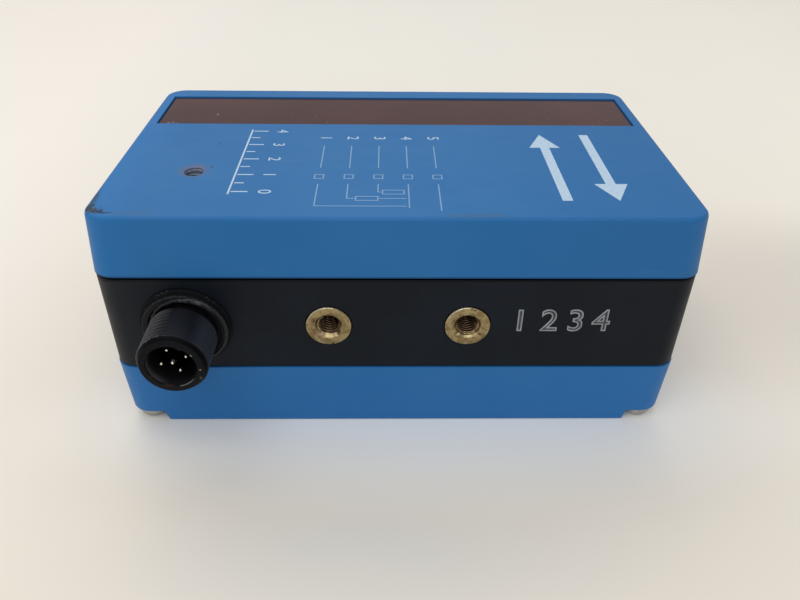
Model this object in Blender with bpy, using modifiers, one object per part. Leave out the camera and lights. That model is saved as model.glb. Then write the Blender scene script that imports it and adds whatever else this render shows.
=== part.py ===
"""Block-shaped retro-reflective photoelectric sensor with a round five-pin plug, piece by piece.

+X runs along the housing, -Y is the plug face and +Z the face with the optical window.
The origin is the centre of the flat base. Lengths are in metres.
"""

import math

import bmesh
import bpy
from mathutils import Vector

MM = 0.001

# Housing: two blue covers with a black frame between them
BODY_LENGTH = 106.0 * MM
BODY_DEPTH = 63.0 * MM
LOWER_HEIGHT = 14.2 * MM
BAND_HEIGHT = 19.6 * MM
UPPER_HEIGHT = 11.6 * MM
CORNER_RADIUS = 4.1 * MM
TOP_EDGE_RADIUS = 0.8 * MM
BASE_EDGE_RADIUS = 0.3 * MM
UPPER_DRAFT = 0.66 * MM
LOWER_DRAFT = 0.5 * MM
BAND_SETBACK = 0.1 * MM
WALL = 3.0 * MM
PLATE = 3.4 * MM
RIB = 1.2 * MM
COVER_RIB_HEIGHT = 2.5 * MM
COVER_RIB_PITCH = 24.0 * MM
FLOOR_RIB_HEIGHT = 2.0 * MM
FLOOR_RIB_PITCH = 19.0 * MM
FRAME_RIB_DEPTH = 1.5 * MM
FRAME_RIB_PITCH = 26.0 * MM

# Clearance between neighbouring pieces, and the thinner one round seals and pane
GAP = 0.3 * MM
SEAL_GAP = 0.2 * MM
SEAM_GAP = 0.4 * MM

# Tongue of the frame inside the skirt of each cover, with a seal on its end
TONGUE_HEIGHT = 2.0 * MM
TONGUE_THICKNESS = 1.1 * MM
SEAL_HEIGHT = 0.8 * MM
SEAL_THICKNESS = 0.9 * MM

# Corner screws, from the notches of the base up into the upper cover
SCREW_INSET_X = 4.4 * MM
SCREW_INSET_Y = 3.8 * MM
SCREW_RADIUS = 1.5 * MM
SCREW_GRIP = 5.7 * MM
SCREW_HEAD_RADIUS = 2.75 * MM
SCREW_HEAD_HEIGHT = 1.8 * MM
SCREW_SOCKET_RADIUS = 1.25 * MM
SCREW_SOCKET_DEPTH = 1.1 * MM
BOSS_BITE = 0.4 * MM
NOTCH_DEPTH = 2.4 * MM
NOTCH_REACH = 7.4 * MM
NOTCH_SLANT = 0.7 * MM

# Optical window
WINDOW_WIDTH = 16.3 * MM
WINDOW_SIDE_RIM = 2.9 * MM
WINDOW_FAR_RIM = 5.5 * MM
WINDOW_SETBACK = 0.3 * MM
PANE_THICKNESS = 1.4 * MM
WINDOW_SEAL_THICKNESS = 0.4 * MM
WINDOW_LEDGE = 1.6 * MM
WINDOW_END_LEDGE = 4.6 * MM

# Recessed screw in the upper cover, into a post of the frame
LOCK_SCREW_INSET_X = 15.65 * MM
LOCK_SCREW_INSET_Y = 18.5 * MM
LOCK_SCREW_RADIUS = 1.5 * MM
LOCK_SCREW_LENGTH = 16.0 * MM
LOCK_SCREW_SETBACK = 1.1 * MM
LOCK_SLOT_WIDTH = 0.8 * MM
LOCK_SLOT_DEPTH = 0.8 * MM
LOCK_SLOT_ANGLE = 10.0
DIMPLE_RADIUS = 3.1 * MM
DIMPLE_DEPTH = 0.3 * MM
POST_RADIUS = 4.0 * MM
POST_LIFT = 2.8 * MM

# Plug's axis and the inserts' axes, below the middle of the band
AXIS_DROP = 0.25 * MM

# Threaded brass inserts
INSERT_SPACING = 25.0 * MM
INSERT_FLANGE_RADIUS = 4.1 * MM
INSERT_FLANGE_THICKNESS = 0.8 * MM
INSERT_PROUD = 0.2 * MM
INSERT_RADIUS = 2.9 * MM
INSERT_LENGTH = 8.4 * MM
INSERT_GROOVE = 0.4 * MM
INSERT_BORE_RADIUS = 2.05 * MM
INSERT_CHAMFER = 0.55 * MM
INSERT_BOSS_WALL = 1.8 * MM

# Plug: distances from the plug face, outwards
PLUG_INSET = 15.1 * MM
PLUG_REACH = 11.3 * MM
PLUG_THREAD_RADIUS = 6.0 * MM
PLUG_TIP_CHAMFER = 0.6 * MM
PLUG_TIP_TAPER = 1.1 * MM
THREAD_RELIEF = 0.5 * MM
THREAD_END = 2.8 * MM
SOCKET_RADIUS = 4.2 * MM
SOCKET_DEPTH = 8.5 * MM
SOCKET_CHAMFER = 0.3 * MM
COLLAR_RADIUS = 7.5 * MM
COLLAR_FRONT = 1.5 * MM
COLLAR_BACK = 0.9 * MM
COLLAR_GROOVE_WIDTH = 0.4 * MM
COLLAR_GROOVE_DEPTH = 0.4 * MM
RING_GROOVE = 0.3 * MM
RING_FLARE = 0.6 * MM
SLEEVE_WALL = 1.7 * MM
SLEEVE_DEPTH = 8.7 * MM
NECK_END = 1.1 * MM
CLIP_THICKNESS = 0.8 * MM
CLIP_WIDTH = 1.5 * MM
CLIP_GROOVE = 0.6 * MM
CLIP_MOUTH = 6.0 * MM
KEY_RADIUS = 0.8 * MM
KEY_ANGLE = 65.0
PIN_COUNT = 4
PIN_CIRCLE_RADIUS = 2.35 * MM
PIN_RADIUS = 0.5 * MM
PIN_RECESS = 1.6 * MM
CENTRE_PIN_EXTRA = 0.7 * MM
PIN_TAIL = 0.7 * MM
FIRST_PIN_ANGLE = 20.0
CARRIER_STEP = 1.5 * MM
CARRIER_SHOULDER = 0.6 * MM
PLUG_BOARD_THICKNESS = 1.0 * MM

# Main board and what stands on it
BOARD_DROP = 4.1 * MM
BOARD_THICKNESS = 1.6 * MM
BOARD_MARGIN = 0.6 * MM
STANDOFF_RADIUS = 2.6 * MM
STANDOFF_INSET = 7.0 * MM
STANDOFF_REACH = 11.0 * MM
BOARD_SCREW_RADIUS = 0.9 * MM
BOARD_SCREW_LENGTH = 5.5 * MM
BOARD_SCREW_HEAD_RADIUS = 1.8 * MM
BOARD_SCREW_HEAD_HEIGHT = 1.3 * MM
CHIP_SIZE = 9.0 * MM
CHIP_HEIGHT = 1.2 * MM
CHIP_X = 9.0 * MM
DRIVER_LENGTH = 6.0 * MM
DRIVER_DEPTH = 5.0 * MM
DRIVER_HEIGHT = 1.5 * MM
DRIVER_X = -18.0 * MM
CHOKE_RADIUS = 4.0 * MM
CHOKE_HEIGHT = 4.4 * MM
CHOKE_FLANGE = 0.9 * MM
CAPACITOR_RADIUS = 3.1 * MM
CAPACITOR_HEIGHT = 5.4 * MM
CAPACITOR_PITCH = 9.0 * MM
CAPACITOR_INSET = 17.0 * MM
FRONT_ROW = 13.0 * MM
ROW_PITCH = 12.0 * MM
CABLE_SOCKET_LENGTH = 11.0 * MM
CABLE_SOCKET_DEPTH = 4.4 * MM
CABLE_SOCKET_HEIGHT = 2.4 * MM
RIBBON_WIDTH = 8.0 * MM
RIBBON_THICKNESS = 0.4 * MM
RIBBON_BEND = 2.5 * MM
RIBBON_GRIP = 1.5 * MM

# Optics
LENS_SPACING = 36.0 * MM
LENS_RADIUS = 6.3 * MM
LENS_RIM = 1.2 * MM
LENS_CROWN = 2.1 * MM
LENS_SEAT_LIP = 1.0 * MM
LENS_DROP = 4.3 * MM
POLARIZER_THICKNESS = 0.5 * MM
FUNNEL_WALL = 1.2 * MM
FUNNEL_FOOT_RADIUS = 3.3 * MM
CARRIER_PLATE = 3.0 * MM
CARRIER_END_INSET = 9.5 * MM
CARRIER_LEG = 3.0 * MM
CARRIER_LEG_DEPTH = 10.0 * MM
EMITTER_RADIUS = 2.5 * MM
EMITTER_FLANGE = 0.4 * MM
EMITTER_FLANGE_HEIGHT = 1.0 * MM
EMITTER_HEIGHT = 8.4 * MM
RECEIVER_SIZE = 4.1 * MM
RECEIVER_HEIGHT = 1.4 * MM

# Shares of a piece's own radius or height
SCREW_POINT = 0.6
PAN_HEAD_TOP = 0.6
PAN_HEAD_RIM = 0.2
PIN_POINT = 0.5
PIN_POINT_HEIGHT = 0.1
LENS_CROWN_REACH = 0.93

# Facets of round forms
CORNER_SEGMENTS = 8
EDGE_SEGMENTS = 3
BOSS_SEGMENTS = 8
LENS_SEGMENTS = 4
LARGE_SEGMENTS = 40
MEDIUM_SEGMENTS = 24
SMALL_SEGMENTS = 14
PIN_SEGMENTS = 10
OVERSHOOT = 2.0 * MM

# Levels and planes worked out from the sizes above
SIDE = BODY_LENGTH / 2
REAR = BODY_DEPTH / 2
FRONT = -REAR
BODY_HEIGHT = LOWER_HEIGHT + BAND_HEIGHT + UPPER_HEIGHT
BAND_LOW = LOWER_HEIGHT
BAND_HIGH = LOWER_HEIGHT + BAND_HEIGHT
AXIS_HEIGHT = (BAND_LOW + BAND_HIGH) / 2 - AXIS_DROP
LOWER_RIM = BAND_LOW - SEAM_GAP / 2
UPPER_RIM = BAND_HIGH + SEAM_GAP / 2
FRAME_LOW = BAND_LOW + SEAM_GAP / 2
FRAME_HIGH = BAND_HIGH - SEAM_GAP / 2
TONGUE_LOW = FRAME_LOW - TONGUE_HEIGHT
TONGUE_HIGH = FRAME_HIGH + TONGUE_HEIGHT
LOWER_LEDGE = TONGUE_LOW - SEAL_HEIGHT - 2 * SEAL_GAP
UPPER_LEDGE = TONGUE_HIGH + SEAL_HEIGHT + 2 * SEAL_GAP
TONGUE_INSET = WALL - TONGUE_THICKNESS
SKIRT_INSET = TONGUE_INSET - GAP
CEILING = BODY_HEIGHT - PLATE
SCREW_X = SIDE - SCREW_INSET_X
SCREW_Y = REAR - SCREW_INSET_Y
SCREW_TIP = UPPER_RIM + SCREW_GRIP
PLUG_X = -SIDE + PLUG_INSET
LOCK_X = -SIDE + LOCK_SCREW_INSET_X
LOCK_Y = FRONT + LOCK_SCREW_INSET_Y
WINDOW_Y = REAR - WINDOW_FAR_RIM - WINDOW_WIDTH / 2
WINDOW_HALF = SIDE - WINDOW_SIDE_RIM
PANE_TOP = BODY_HEIGHT - WINDOW_SETBACK
PANE_LOW = PANE_TOP - PANE_THICKNESS
WINDOW_FLOOR = PANE_LOW - WINDOW_SEAL_THICKNESS - 2 * SEAL_GAP
BOARD_LEVEL = BAND_LOW - BOARD_DROP
BOARD_TOP = BOARD_LEVEL + BOARD_THICKNESS
SEAT = BOARD_TOP + GAP
STANDOFF_X = SIDE - STANDOFF_INSET
NECK_DEPTH = SLEEVE_DEPTH + CLIP_THICKNESS + GAP + NECK_END
PLUG_BOARD_FRONT = NECK_DEPTH + GAP
PLUG_BOARD_BACK = PLUG_BOARD_FRONT + PLUG_BOARD_THICKNESS
CARRIER_TOP = CEILING - SEAM_GAP
LENS_SEAT = CARRIER_TOP - LENS_DROP - GAP
CARRIER_HALF_DEPTH = LENS_RADIUS + GAP + FUNNEL_WALL
HOLE = PIN_RADIUS + GAP


def collection(name):
    made = bpy.data.collections.new(name)
    bpy.context.scene.collection.children.link(made)
    return made


def clear_scene():
    for old in list(bpy.data.objects):
        bpy.data.objects.remove(old)


clear_scene()
PARTS = collection("photoelectric_sensor")
CUTTERS = collection("cutters")
CUTTERS.hide_render = True


def surface(name, color, roughness, metallic=0.0):
    """A plain material: colour, roughness and whether it is metal."""
    made = bpy.data.materials.new(name)
    made.use_nodes = True
    shader = made.node_tree.nodes["Principled BSDF"]
    shader.inputs["Base Color"].default_value = (*color, 1.0)
    shader.inputs["Roughness"].default_value = roughness
    shader.inputs["Metallic"].default_value = metallic
    made.diffuse_color = (*color, 1.0)
    return made


BLUE = surface("blue_plastic", (0.045, 0.17, 0.42), 0.45)
BLACK = surface("black_plastic", (0.02, 0.021, 0.024), 0.5)
RED_FILTER = surface("red_filter", (0.075, 0.025, 0.025), 0.12)
RUBBER = surface("black_rubber", (0.015, 0.015, 0.015), 0.75)
BRASS = surface("brass", (0.62, 0.46, 0.22), 0.3, 1.0)
STEEL = surface("zinc_steel", (0.58, 0.57, 0.55), 0.35, 1.0)
GILT = surface("gilt", (0.85, 0.66, 0.3), 0.25, 1.0)
LAMINATE = surface("board_laminate", (0.02, 0.13, 0.06), 0.5)
CLEAR = surface("clear_lens", (0.8, 0.8, 0.82), 0.08)
FILM = surface("polarizer_film", (0.12, 0.12, 0.13), 0.2)
CASE = surface("component_case", (0.04, 0.04, 0.042), 0.55)
CAN = surface("component_can", (0.6, 0.6, 0.62), 0.4, 1.0)
AMBER = surface("ribbon_film", (0.45, 0.2, 0.03), 0.35)


def keep(name, mesh, material=None):
    """Turns a bmesh into an object: a part if it has a material, and a hidden cutter if not."""
    mesh.normal_update()
    bmesh.ops.recalc_face_normals(mesh, faces=mesh.faces)
    data = bpy.data.meshes.new(name)
    mesh.to_mesh(data)
    mesh.free()
    made = bpy.data.objects.new(name, data)
    return place(made, material)


def place(made, material):
    if material is None:
        CUTTERS.objects.link(made)
        made.hide_render = True
        made.display_type = "WIRE"
    else:
        PARTS.objects.link(made)
        made.data.materials.append(material)
    return made


def boolean(target, operation, *others):
    for other in others:
        step = target.modifiers.new(f"{operation.lower()}_{other.name}", "BOOLEAN")
        step.operation = operation
        step.solver = "EXACT"
        step.object = other


def cut(target, *cutters):
    boolean(target, "DIFFERENCE", *cutters)


def join(target, *others):
    boolean(target, "UNION", *others)


def block(name, x_span, y_span, z_span, material=None, bevel=0.0):
    """A box between the given planes, with all its edges softened by bevel."""
    mesh = bmesh.new()
    bmesh.ops.create_cube(mesh, size=1.0)
    spans = (x_span, y_span, z_span)
    for vert in mesh.verts:
        vert.co = Vector([span[0] if at < 0 else span[1] for at, span in zip(vert.co, spans)])
    if bevel:
        bmesh.ops.bevel(mesh, geom=mesh.edges[:], offset=bevel, segments=1, affect="EDGES")
    return keep(name, mesh, material)


def around(centre, half):
    return (centre - half, centre + half)


def drafted_block(name, z_span, insets, edges, material):
    """The housing's outline between two levels, with drafted sides, round corners and soft rims."""
    mesh = bmesh.new()
    bmesh.ops.create_cube(mesh, size=1.0)
    for vert in mesh.verts:
        level = 1 if vert.co.z > 0 else 0
        vert.co.x = math.copysign(SIDE - insets[level], vert.co.x)
        vert.co.y = math.copysign(REAR - insets[level], vert.co.y)
        vert.co.z = z_span[level]
    upright = [edge for edge in mesh.edges if edge.verts[0].co.z != edge.verts[1].co.z]
    bmesh.ops.bevel(mesh, geom=upright, offset=CORNER_RADIUS, segments=CORNER_SEGMENTS, profile=0.5,
                    affect="EDGES")
    for level, radius in zip(z_span, edges):
        if radius:
            rim = [edge for edge in mesh.edges if all(abs(v.co.z - level) < GAP / 10 for v in edge.verts)]
            bmesh.ops.bevel(mesh, geom=rim, offset=radius, segments=EDGE_SEGMENTS, profile=0.5,
                            affect="EDGES")
    return keep(name, mesh, material)


def boss_radius(inset):
    """The bosses merge with the wall at the skirt, and stay parallel to it further in."""
    reach = max(SCREW_INSET_X, SCREW_INSET_Y) - SKIRT_INSET + BOSS_BITE
    return reach + inset - SKIRT_INSET


def chamber_outline(inset):
    """The housing's inside outline at that inset, which runs round the four screw bosses."""
    radius = boss_radius(inset)
    start = -math.acos((SCREW_INSET_X - inset) / radius)
    end = -math.pi - math.asin((SCREW_INSET_Y - inset) / radius)
    arc = []
    for step in range(BOSS_SEGMENTS + 1):
        angle = start + (end - start) * step / BOSS_SEGMENTS
        arc.append((SCREW_X + radius * math.cos(angle), SCREW_Y + radius * math.sin(angle)))
    left_rear = [(-x, y) for x, y in reversed(arc)]
    left_front = [(-x, -y) for x, y in arc]
    right_front = [(x, -y) for x, y in reversed(arc)]
    return arc + left_rear + left_front + right_front


def prism(name, outline, z_span, material=None):
    """A flat outline pushed up between two levels."""
    mesh = bmesh.new()
    floor = mesh.faces.new([mesh.verts.new((x, y, z_span[0])) for x, y in outline])
    pushed = bmesh.ops.extrude_face_region(mesh, geom=[floor])
    moved = [item for item in pushed["geom"] if isinstance(item, bmesh.types.BMVert)]
    bmesh.ops.translate(mesh, verts=moved, vec=(0, 0, z_span[1] - z_span[0]))
    return keep(name, mesh, material)


def chamber(name, inset, z_span, material=None):
    return prism(name, chamber_outline(inset), z_span, material)


def cylinder(name, radius, z_span, at, steps, top_radius=None, material=None):
    """An upright cylinder or cone frustum between two levels."""
    mesh = bmesh.new()
    upper = radius if top_radius is None else top_radius
    bmesh.ops.create_cone(mesh, cap_ends=True, segments=steps, radius1=radius, radius2=upper,
                          depth=z_span[1] - z_span[0])
    bmesh.ops.translate(mesh, verts=mesh.verts, vec=(at[0], at[1], (z_span[0] + z_span[1]) / 2))
    return keep(name, mesh, material)


def face_outwards(made, x, z):
    """Stands a piece on the plug face: its own +Z then points out of the face, along -Y."""
    made.rotation_euler = (math.pi / 2, 0, 0)
    made.location = (x, FRONT, z)
    return made


def turned(name, profile, steps, material=None, ring=False):
    """Spins a (radius, height) profile, listed down its outer side, about its own Z."""
    data = bpy.data.meshes.new(name)
    points = [(radius, 0, height) for radius, height in profile]
    lines = [(i, i + 1) for i in range(len(points) - 1)]
    if ring:
        lines.append((len(points) - 1, 0))
    data.from_pydata(points, lines, [])
    made = place(bpy.data.objects.new(name, data), material)
    spin = made.modifiers.new("spin", "SCREW")
    spin.steps = spin.render_steps = steps
    spin.use_merge_vertices = True
    spin.merge_threshold = 0.00001
    spin.use_smooth_shade = True
    return made


def screw_holes():
    """Clearance holes for the corner screws, through the whole stack up to the screws' ends."""
    holes = []
    for index, (x, y) in enumerate(corner_places()):
        span = (-OVERSHOOT, SCREW_TIP + GAP)
        holes.append(cylinder(f"screw_hole_{index + 1}", SCREW_RADIUS + GAP, span, (x, y), SMALL_SEGMENTS))
    return holes


def corner_places():
    return [(-SCREW_X, -SCREW_Y), (SCREW_X, -SCREW_Y), (-SCREW_X, SCREW_Y), (SCREW_X, SCREW_Y)]


def standoff_places():
    return [(x, y) for x in (-STANDOFF_X, STANDOFF_X) for y in (-STANDOFF_REACH, STANDOFF_REACH)]


def base_notches():
    """Pockets in the base's corners for the screw heads, their inner sides slanted."""
    notches = []
    for index, (x, y) in enumerate(corner_places()):
        mesh = bmesh.new()
        bmesh.ops.create_cube(mesh, size=1.0)
        for vert in mesh.verts:
            reach = NOTCH_REACH + (0 if vert.co.z > 0 else NOTCH_SLANT * (1 + OVERSHOOT / NOTCH_DEPTH))
            inner_x, inner_y = SIDE - reach, REAR - reach
            vert.co.x = math.copysign(SIDE + OVERSHOOT if vert.co.x > 0 else inner_x, x)
            vert.co.y = math.copysign(REAR + OVERSHOOT if vert.co.y > 0 else inner_y, y)
            vert.co.z = NOTCH_DEPTH if vert.co.z > 0 else -OVERSHOOT
        notches.append(keep(f"notch_{index + 1}", mesh))
    return notches


def lower_cover(holes):
    cover = drafted_block("lower_cover", (0, LOWER_RIM), (LOWER_DRAFT, 0), (BASE_EDGE_RADIUS, 0), BLUE)
    above = LOWER_RIM + OVERSHOOT
    cut(cover, chamber("lower_skirt", SKIRT_INSET, (LOWER_LEDGE, above)))
    cut(cover, chamber("lower_hollow", WALL, (PLATE, above)))
    rib_top = PLATE + FLOOR_RIB_HEIGHT
    sunk = PLATE - OVERSHOOT / 2
    for side in (-1, 1):
        along = block(f"floor_rib_along_{side + 1}", around(0, SIDE - WALL / 2),
                      around(side * FLOOR_RIB_PITCH / 2, RIB / 2), (sunk, rib_top))
        across = block(f"floor_rib_across_{side + 1}", around(side * FLOOR_RIB_PITCH, RIB / 2),
                       around(0, REAR - WALL / 2), (sunk, rib_top))
        join(cover, along, across)
    for index, at in enumerate(standoff_places()):
        post = cylinder(f"standoff_{index + 1}", STANDOFF_RADIUS, (sunk, BOARD_LEVEL - GAP), at,
                        SMALL_SEGMENTS)
        join(cover, post)
    for index, at in enumerate(standoff_places()):
        depth = SEAT - BOARD_SCREW_LENGTH - GAP
        bore = cylinder(f"standoff_bore_{index + 1}", BOARD_SCREW_RADIUS + GAP,
                        (depth, BOARD_LEVEL + OVERSHOOT), at, SMALL_SEGMENTS)
        cut(cover, bore)
    cut(cover, *base_notches(), *holes)
    return cover


def plug_face_cylinder(name, radius, depth_span, x, z, steps):
    """A cylinder square to the plug face, between two depths behind it."""
    made = cylinder(name, radius, (-depth_span[1], -depth_span[0]), (0, 0), steps)
    return face_outwards(made, x, z)


def middle_frame(holes):
    inset = (BAND_SETBACK, BAND_SETBACK)
    frame = drafted_block("middle_frame", (FRAME_LOW, FRAME_HIGH), inset, (0, 0), BLACK)
    join(frame, chamber("frame_tongues", TONGUE_INSET, (TONGUE_LOW, TONGUE_HIGH)))
    cut(frame, chamber("frame_hollow", WALL, (TONGUE_LOW - OVERSHOOT, TONGUE_HIGH + OVERSHOOT)))
    for side in (-1, 0, 1):
        rib = block(f"frame_rib_{side + 1}", around(side * FRAME_RIB_PITCH, RIB / 2),
                    (REAR - WALL - FRAME_RIB_DEPTH, REAR - WALL / 2), (FRAME_LOW, FRAME_HIGH))
        join(frame, rib)
    insert_hole = INSERT_RADIUS + GAP
    insert_end = INSERT_LENGTH - INSERT_PROUD + GAP
    for side in (-1, 1):
        x = side * INSERT_SPACING / 2
        boss = plug_face_cylinder(f"insert_boss_{side + 1}", insert_hole + INSERT_BOSS_WALL,
                                  (WALL / 2, insert_end + INSERT_BOSS_WALL), x, AXIS_HEIGHT,
                                  MEDIUM_SEGMENTS)
        join(frame, boss)
    sleeve_radius = PLUG_THREAD_RADIUS + GAP + SLEEVE_WALL
    join(frame, plug_face_cylinder("plug_sleeve", sleeve_radius, (WALL / 2, SLEEVE_DEPTH), PLUG_X,
                                   AXIS_HEIGHT, MEDIUM_SEGMENTS))
    web = block("post_web", (-SIDE + WALL / 2, LOCK_X), around(LOCK_Y, RIB),
                (FRAME_LOW + POST_LIFT, FRAME_HIGH))
    post = cylinder("post", POST_RADIUS, (FRAME_LOW + POST_LIFT, FRAME_HIGH), (LOCK_X, LOCK_Y),
                    MEDIUM_SEGMENTS)
    join(frame, web, post)
    for side in (-1, 1):
        x = side * INSERT_SPACING / 2
        bore = plug_face_cylinder(f"insert_bore_{side + 1}", insert_hole, (-OVERSHOOT, insert_end), x,
                                  AXIS_HEIGHT, MEDIUM_SEGMENTS)
        recess_depth = INSERT_FLANGE_THICKNESS - INSERT_PROUD + GAP
        recess = plug_face_cylinder(f"insert_recess_{side + 1}", INSERT_FLANGE_RADIUS + SEAL_GAP,
                                    (-OVERSHOOT, recess_depth), x, AXIS_HEIGHT, MEDIUM_SEGMENTS)
        cut(frame, bore, recess)
    cut(frame, plug_face_cylinder("plug_hole", PLUG_THREAD_RADIUS + GAP,
                                  (-OVERSHOOT, SLEEVE_DEPTH + OVERSHOOT), PLUG_X, AXIS_HEIGHT,
                                  MEDIUM_SEGMENTS))
    cut(frame, lock_screw_hole(), *holes)
    return frame


def lock_screw_hole():
    low = BODY_HEIGHT - LOCK_SCREW_SETBACK - LOCK_SCREW_LENGTH - GAP
    return cylinder("lock_screw_hole", LOCK_SCREW_RADIUS + GAP, (low, BODY_HEIGHT + OVERSHOOT),
                    (LOCK_X, LOCK_Y), SMALL_SEGMENTS)


def upper_cover(holes):
    span = (UPPER_RIM, BODY_HEIGHT)
    cover = drafted_block("upper_cover", span, (0, UPPER_DRAFT), (0, TOP_EDGE_RADIUS), BLUE)
    below = UPPER_RIM - OVERSHOOT
    cut(cover, chamber("upper_skirt", SKIRT_INSET, (below, UPPER_LEDGE)))
    cut(cover, chamber("upper_hollow", WALL, (below, CEILING)))
    rib_end = WINDOW_Y - CARRIER_HALF_DEPTH - RIB
    for side in (-1, 0, 1):
        rib = block(f"cover_rib_{side + 1}", around(side * COVER_RIB_PITCH, RIB / 2),
                    (FRONT + WALL / 2, rib_end), (CEILING - COVER_RIB_HEIGHT, CEILING + PLATE / 2))
        join(cover, rib)
    boss = cylinder("cover_boss", POST_RADIUS, (FRAME_HIGH + GAP, CEILING + PLATE / 2), (LOCK_X, LOCK_Y),
                    MEDIUM_SEGMENTS)
    join(cover, boss)
    cut(cover, window_box("window_recess", 0, (WINDOW_FLOOR, BODY_HEIGHT + OVERSHOOT)))
    cut(cover, block("window_opening", around(0, WINDOW_HALF - WINDOW_END_LEDGE),
                     around(WINDOW_Y, WINDOW_WIDTH / 2 - WINDOW_LEDGE), (CEILING - OVERSHOOT, BODY_HEIGHT)))
    hole = LOCK_SCREW_RADIUS + GAP
    slope = (DIMPLE_RADIUS - hole) / DIMPLE_DEPTH
    dimple = cylinder("dimple", hole, (BODY_HEIGHT - DIMPLE_DEPTH, BODY_HEIGHT + GAP), (LOCK_X, LOCK_Y),
                      MEDIUM_SEGMENTS, DIMPLE_RADIUS + slope * GAP)
    cut(cover, dimple, lock_screw_hole(), *holes)
    return cover


def window_box(name, inset, z_span, material=None, bevel=0.0):
    x_span = around(0, WINDOW_HALF - inset)
    y_span = around(WINDOW_Y, WINDOW_WIDTH / 2 - inset)
    return block(name, x_span, y_span, z_span, material, bevel)


def window():
    window_box("window_pane", SEAL_GAP, (PANE_LOW, PANE_TOP), RED_FILTER, SEAL_GAP / 2)
    low = WINDOW_FLOOR + SEAL_GAP
    span = (low, low + WINDOW_SEAL_THICKNESS)
    seal = window_box("window_seal", SEAL_GAP, span, RUBBER)
    inner = block("window_seal_inside", around(0, WINDOW_HALF - WINDOW_END_LEDGE + GAP),
                  around(WINDOW_Y, WINDOW_WIDTH / 2 - WINDOW_LEDGE + GAP),
                  (low - OVERSHOOT, low + OVERSHOOT))
    cut(seal, inner)


def housing_seal(name, low):
    """A flat ring on the end of the tongue."""
    middle = TONGUE_INSET + TONGUE_THICKNESS / 2
    seal = chamber(name, middle - SEAL_THICKNESS / 2, (low, low + SEAL_HEIGHT), RUBBER)
    cut(seal, chamber(f"{name}_inside", middle + SEAL_THICKNESS / 2,
                      (low - OVERSHOOT, low + SEAL_HEIGHT + OVERSHOOT)))


def corner_screws():
    """Low pan heads in the notches, with a hexagon socket, and shanks up into the upper cover."""
    under_head = NOTCH_DEPTH - GAP
    low = under_head - SCREW_HEAD_HEIGHT
    soft = SCREW_HEAD_HEIGHT / 3
    head, shank = SCREW_HEAD_RADIUS, SCREW_RADIUS
    profile = [
        (0, SCREW_TIP),
        (shank * SCREW_POINT, SCREW_TIP),
        (shank, SCREW_TIP - shank * SCREW_POINT),
        (shank, under_head),
        (head, under_head),
        (head, low + soft),
        (head - soft / 3, low + soft / 3),
        (head - soft, low),
        (0, low),
    ]
    for index, at in enumerate(corner_places()):
        screw = turned(f"corner_screw_{index + 1}", profile, SMALL_SEGMENTS, STEEL)
        screw.location = (*at, 0)
        socket = cylinder(f"screw_socket_{index + 1}", SCREW_SOCKET_RADIUS,
                          (low - OVERSHOOT, low + SCREW_SOCKET_DEPTH), at, 6)
        cut(screw, socket)


def lock_screw():
    """Headless slotted screw, sunk below the dimple of the upper cover."""
    top = BODY_HEIGHT - LOCK_SCREW_SETBACK
    low = top - LOCK_SCREW_LENGTH
    radius, soft = LOCK_SCREW_RADIUS, LOCK_SCREW_RADIUS / 6
    profile = [
        (0, top),
        (radius - soft, top),
        (radius, top - soft),
        (radius, low + radius / 2),
        (radius / 2, low),
        (0, low),
    ]
    screw = turned("lock_screw", profile, MEDIUM_SEGMENTS, STEEL)
    screw.location = (LOCK_X, LOCK_Y, 0)
    slot = block("lock_slot", around(0, radius + OVERSHOOT), around(0, LOCK_SLOT_WIDTH / 2),
                 (top - LOCK_SLOT_DEPTH, top + OVERSHOOT))
    slot.location = (LOCK_X, LOCK_Y, 0)
    slot.rotation_euler = (0, 0, math.radians(LOCK_SLOT_ANGLE))
    cut(screw, slot)


def inserts():
    """Flanged brass bushes with a knurl groove round the middle and a countersunk mouth."""
    top = INSERT_PROUD
    under = top - INSERT_FLANGE_THICKNESS
    end = top - INSERT_LENGTH
    middle = (under + end) / 2
    flange, barrel, bore, soft = INSERT_FLANGE_RADIUS, INSERT_RADIUS, INSERT_BORE_RADIUS, INSERT_PROUD
    groove = INSERT_GROOVE
    profile = [
        (bore + INSERT_CHAMFER, top),
        (flange - soft, top),
        (flange, top - soft),
        (flange, under),
        (barrel, under),
        (barrel, middle + 2 * groove),
        (barrel - groove, middle + groove),
        (barrel - groove, middle - groove),
        (barrel, middle - 2 * groove),
        (barrel, end + soft),
        (barrel - soft, end),
        (bore, end),
        (bore, top - INSERT_CHAMFER),
    ]
    for side, name in ((-1, "insert_left"), (1, "insert_right")):
        bush = turned(name, profile, MEDIUM_SEGMENTS, BRASS, ring=True)
        face_outwards(bush, side * INSERT_SPACING / 2, AXIS_HEIGHT)


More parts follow.
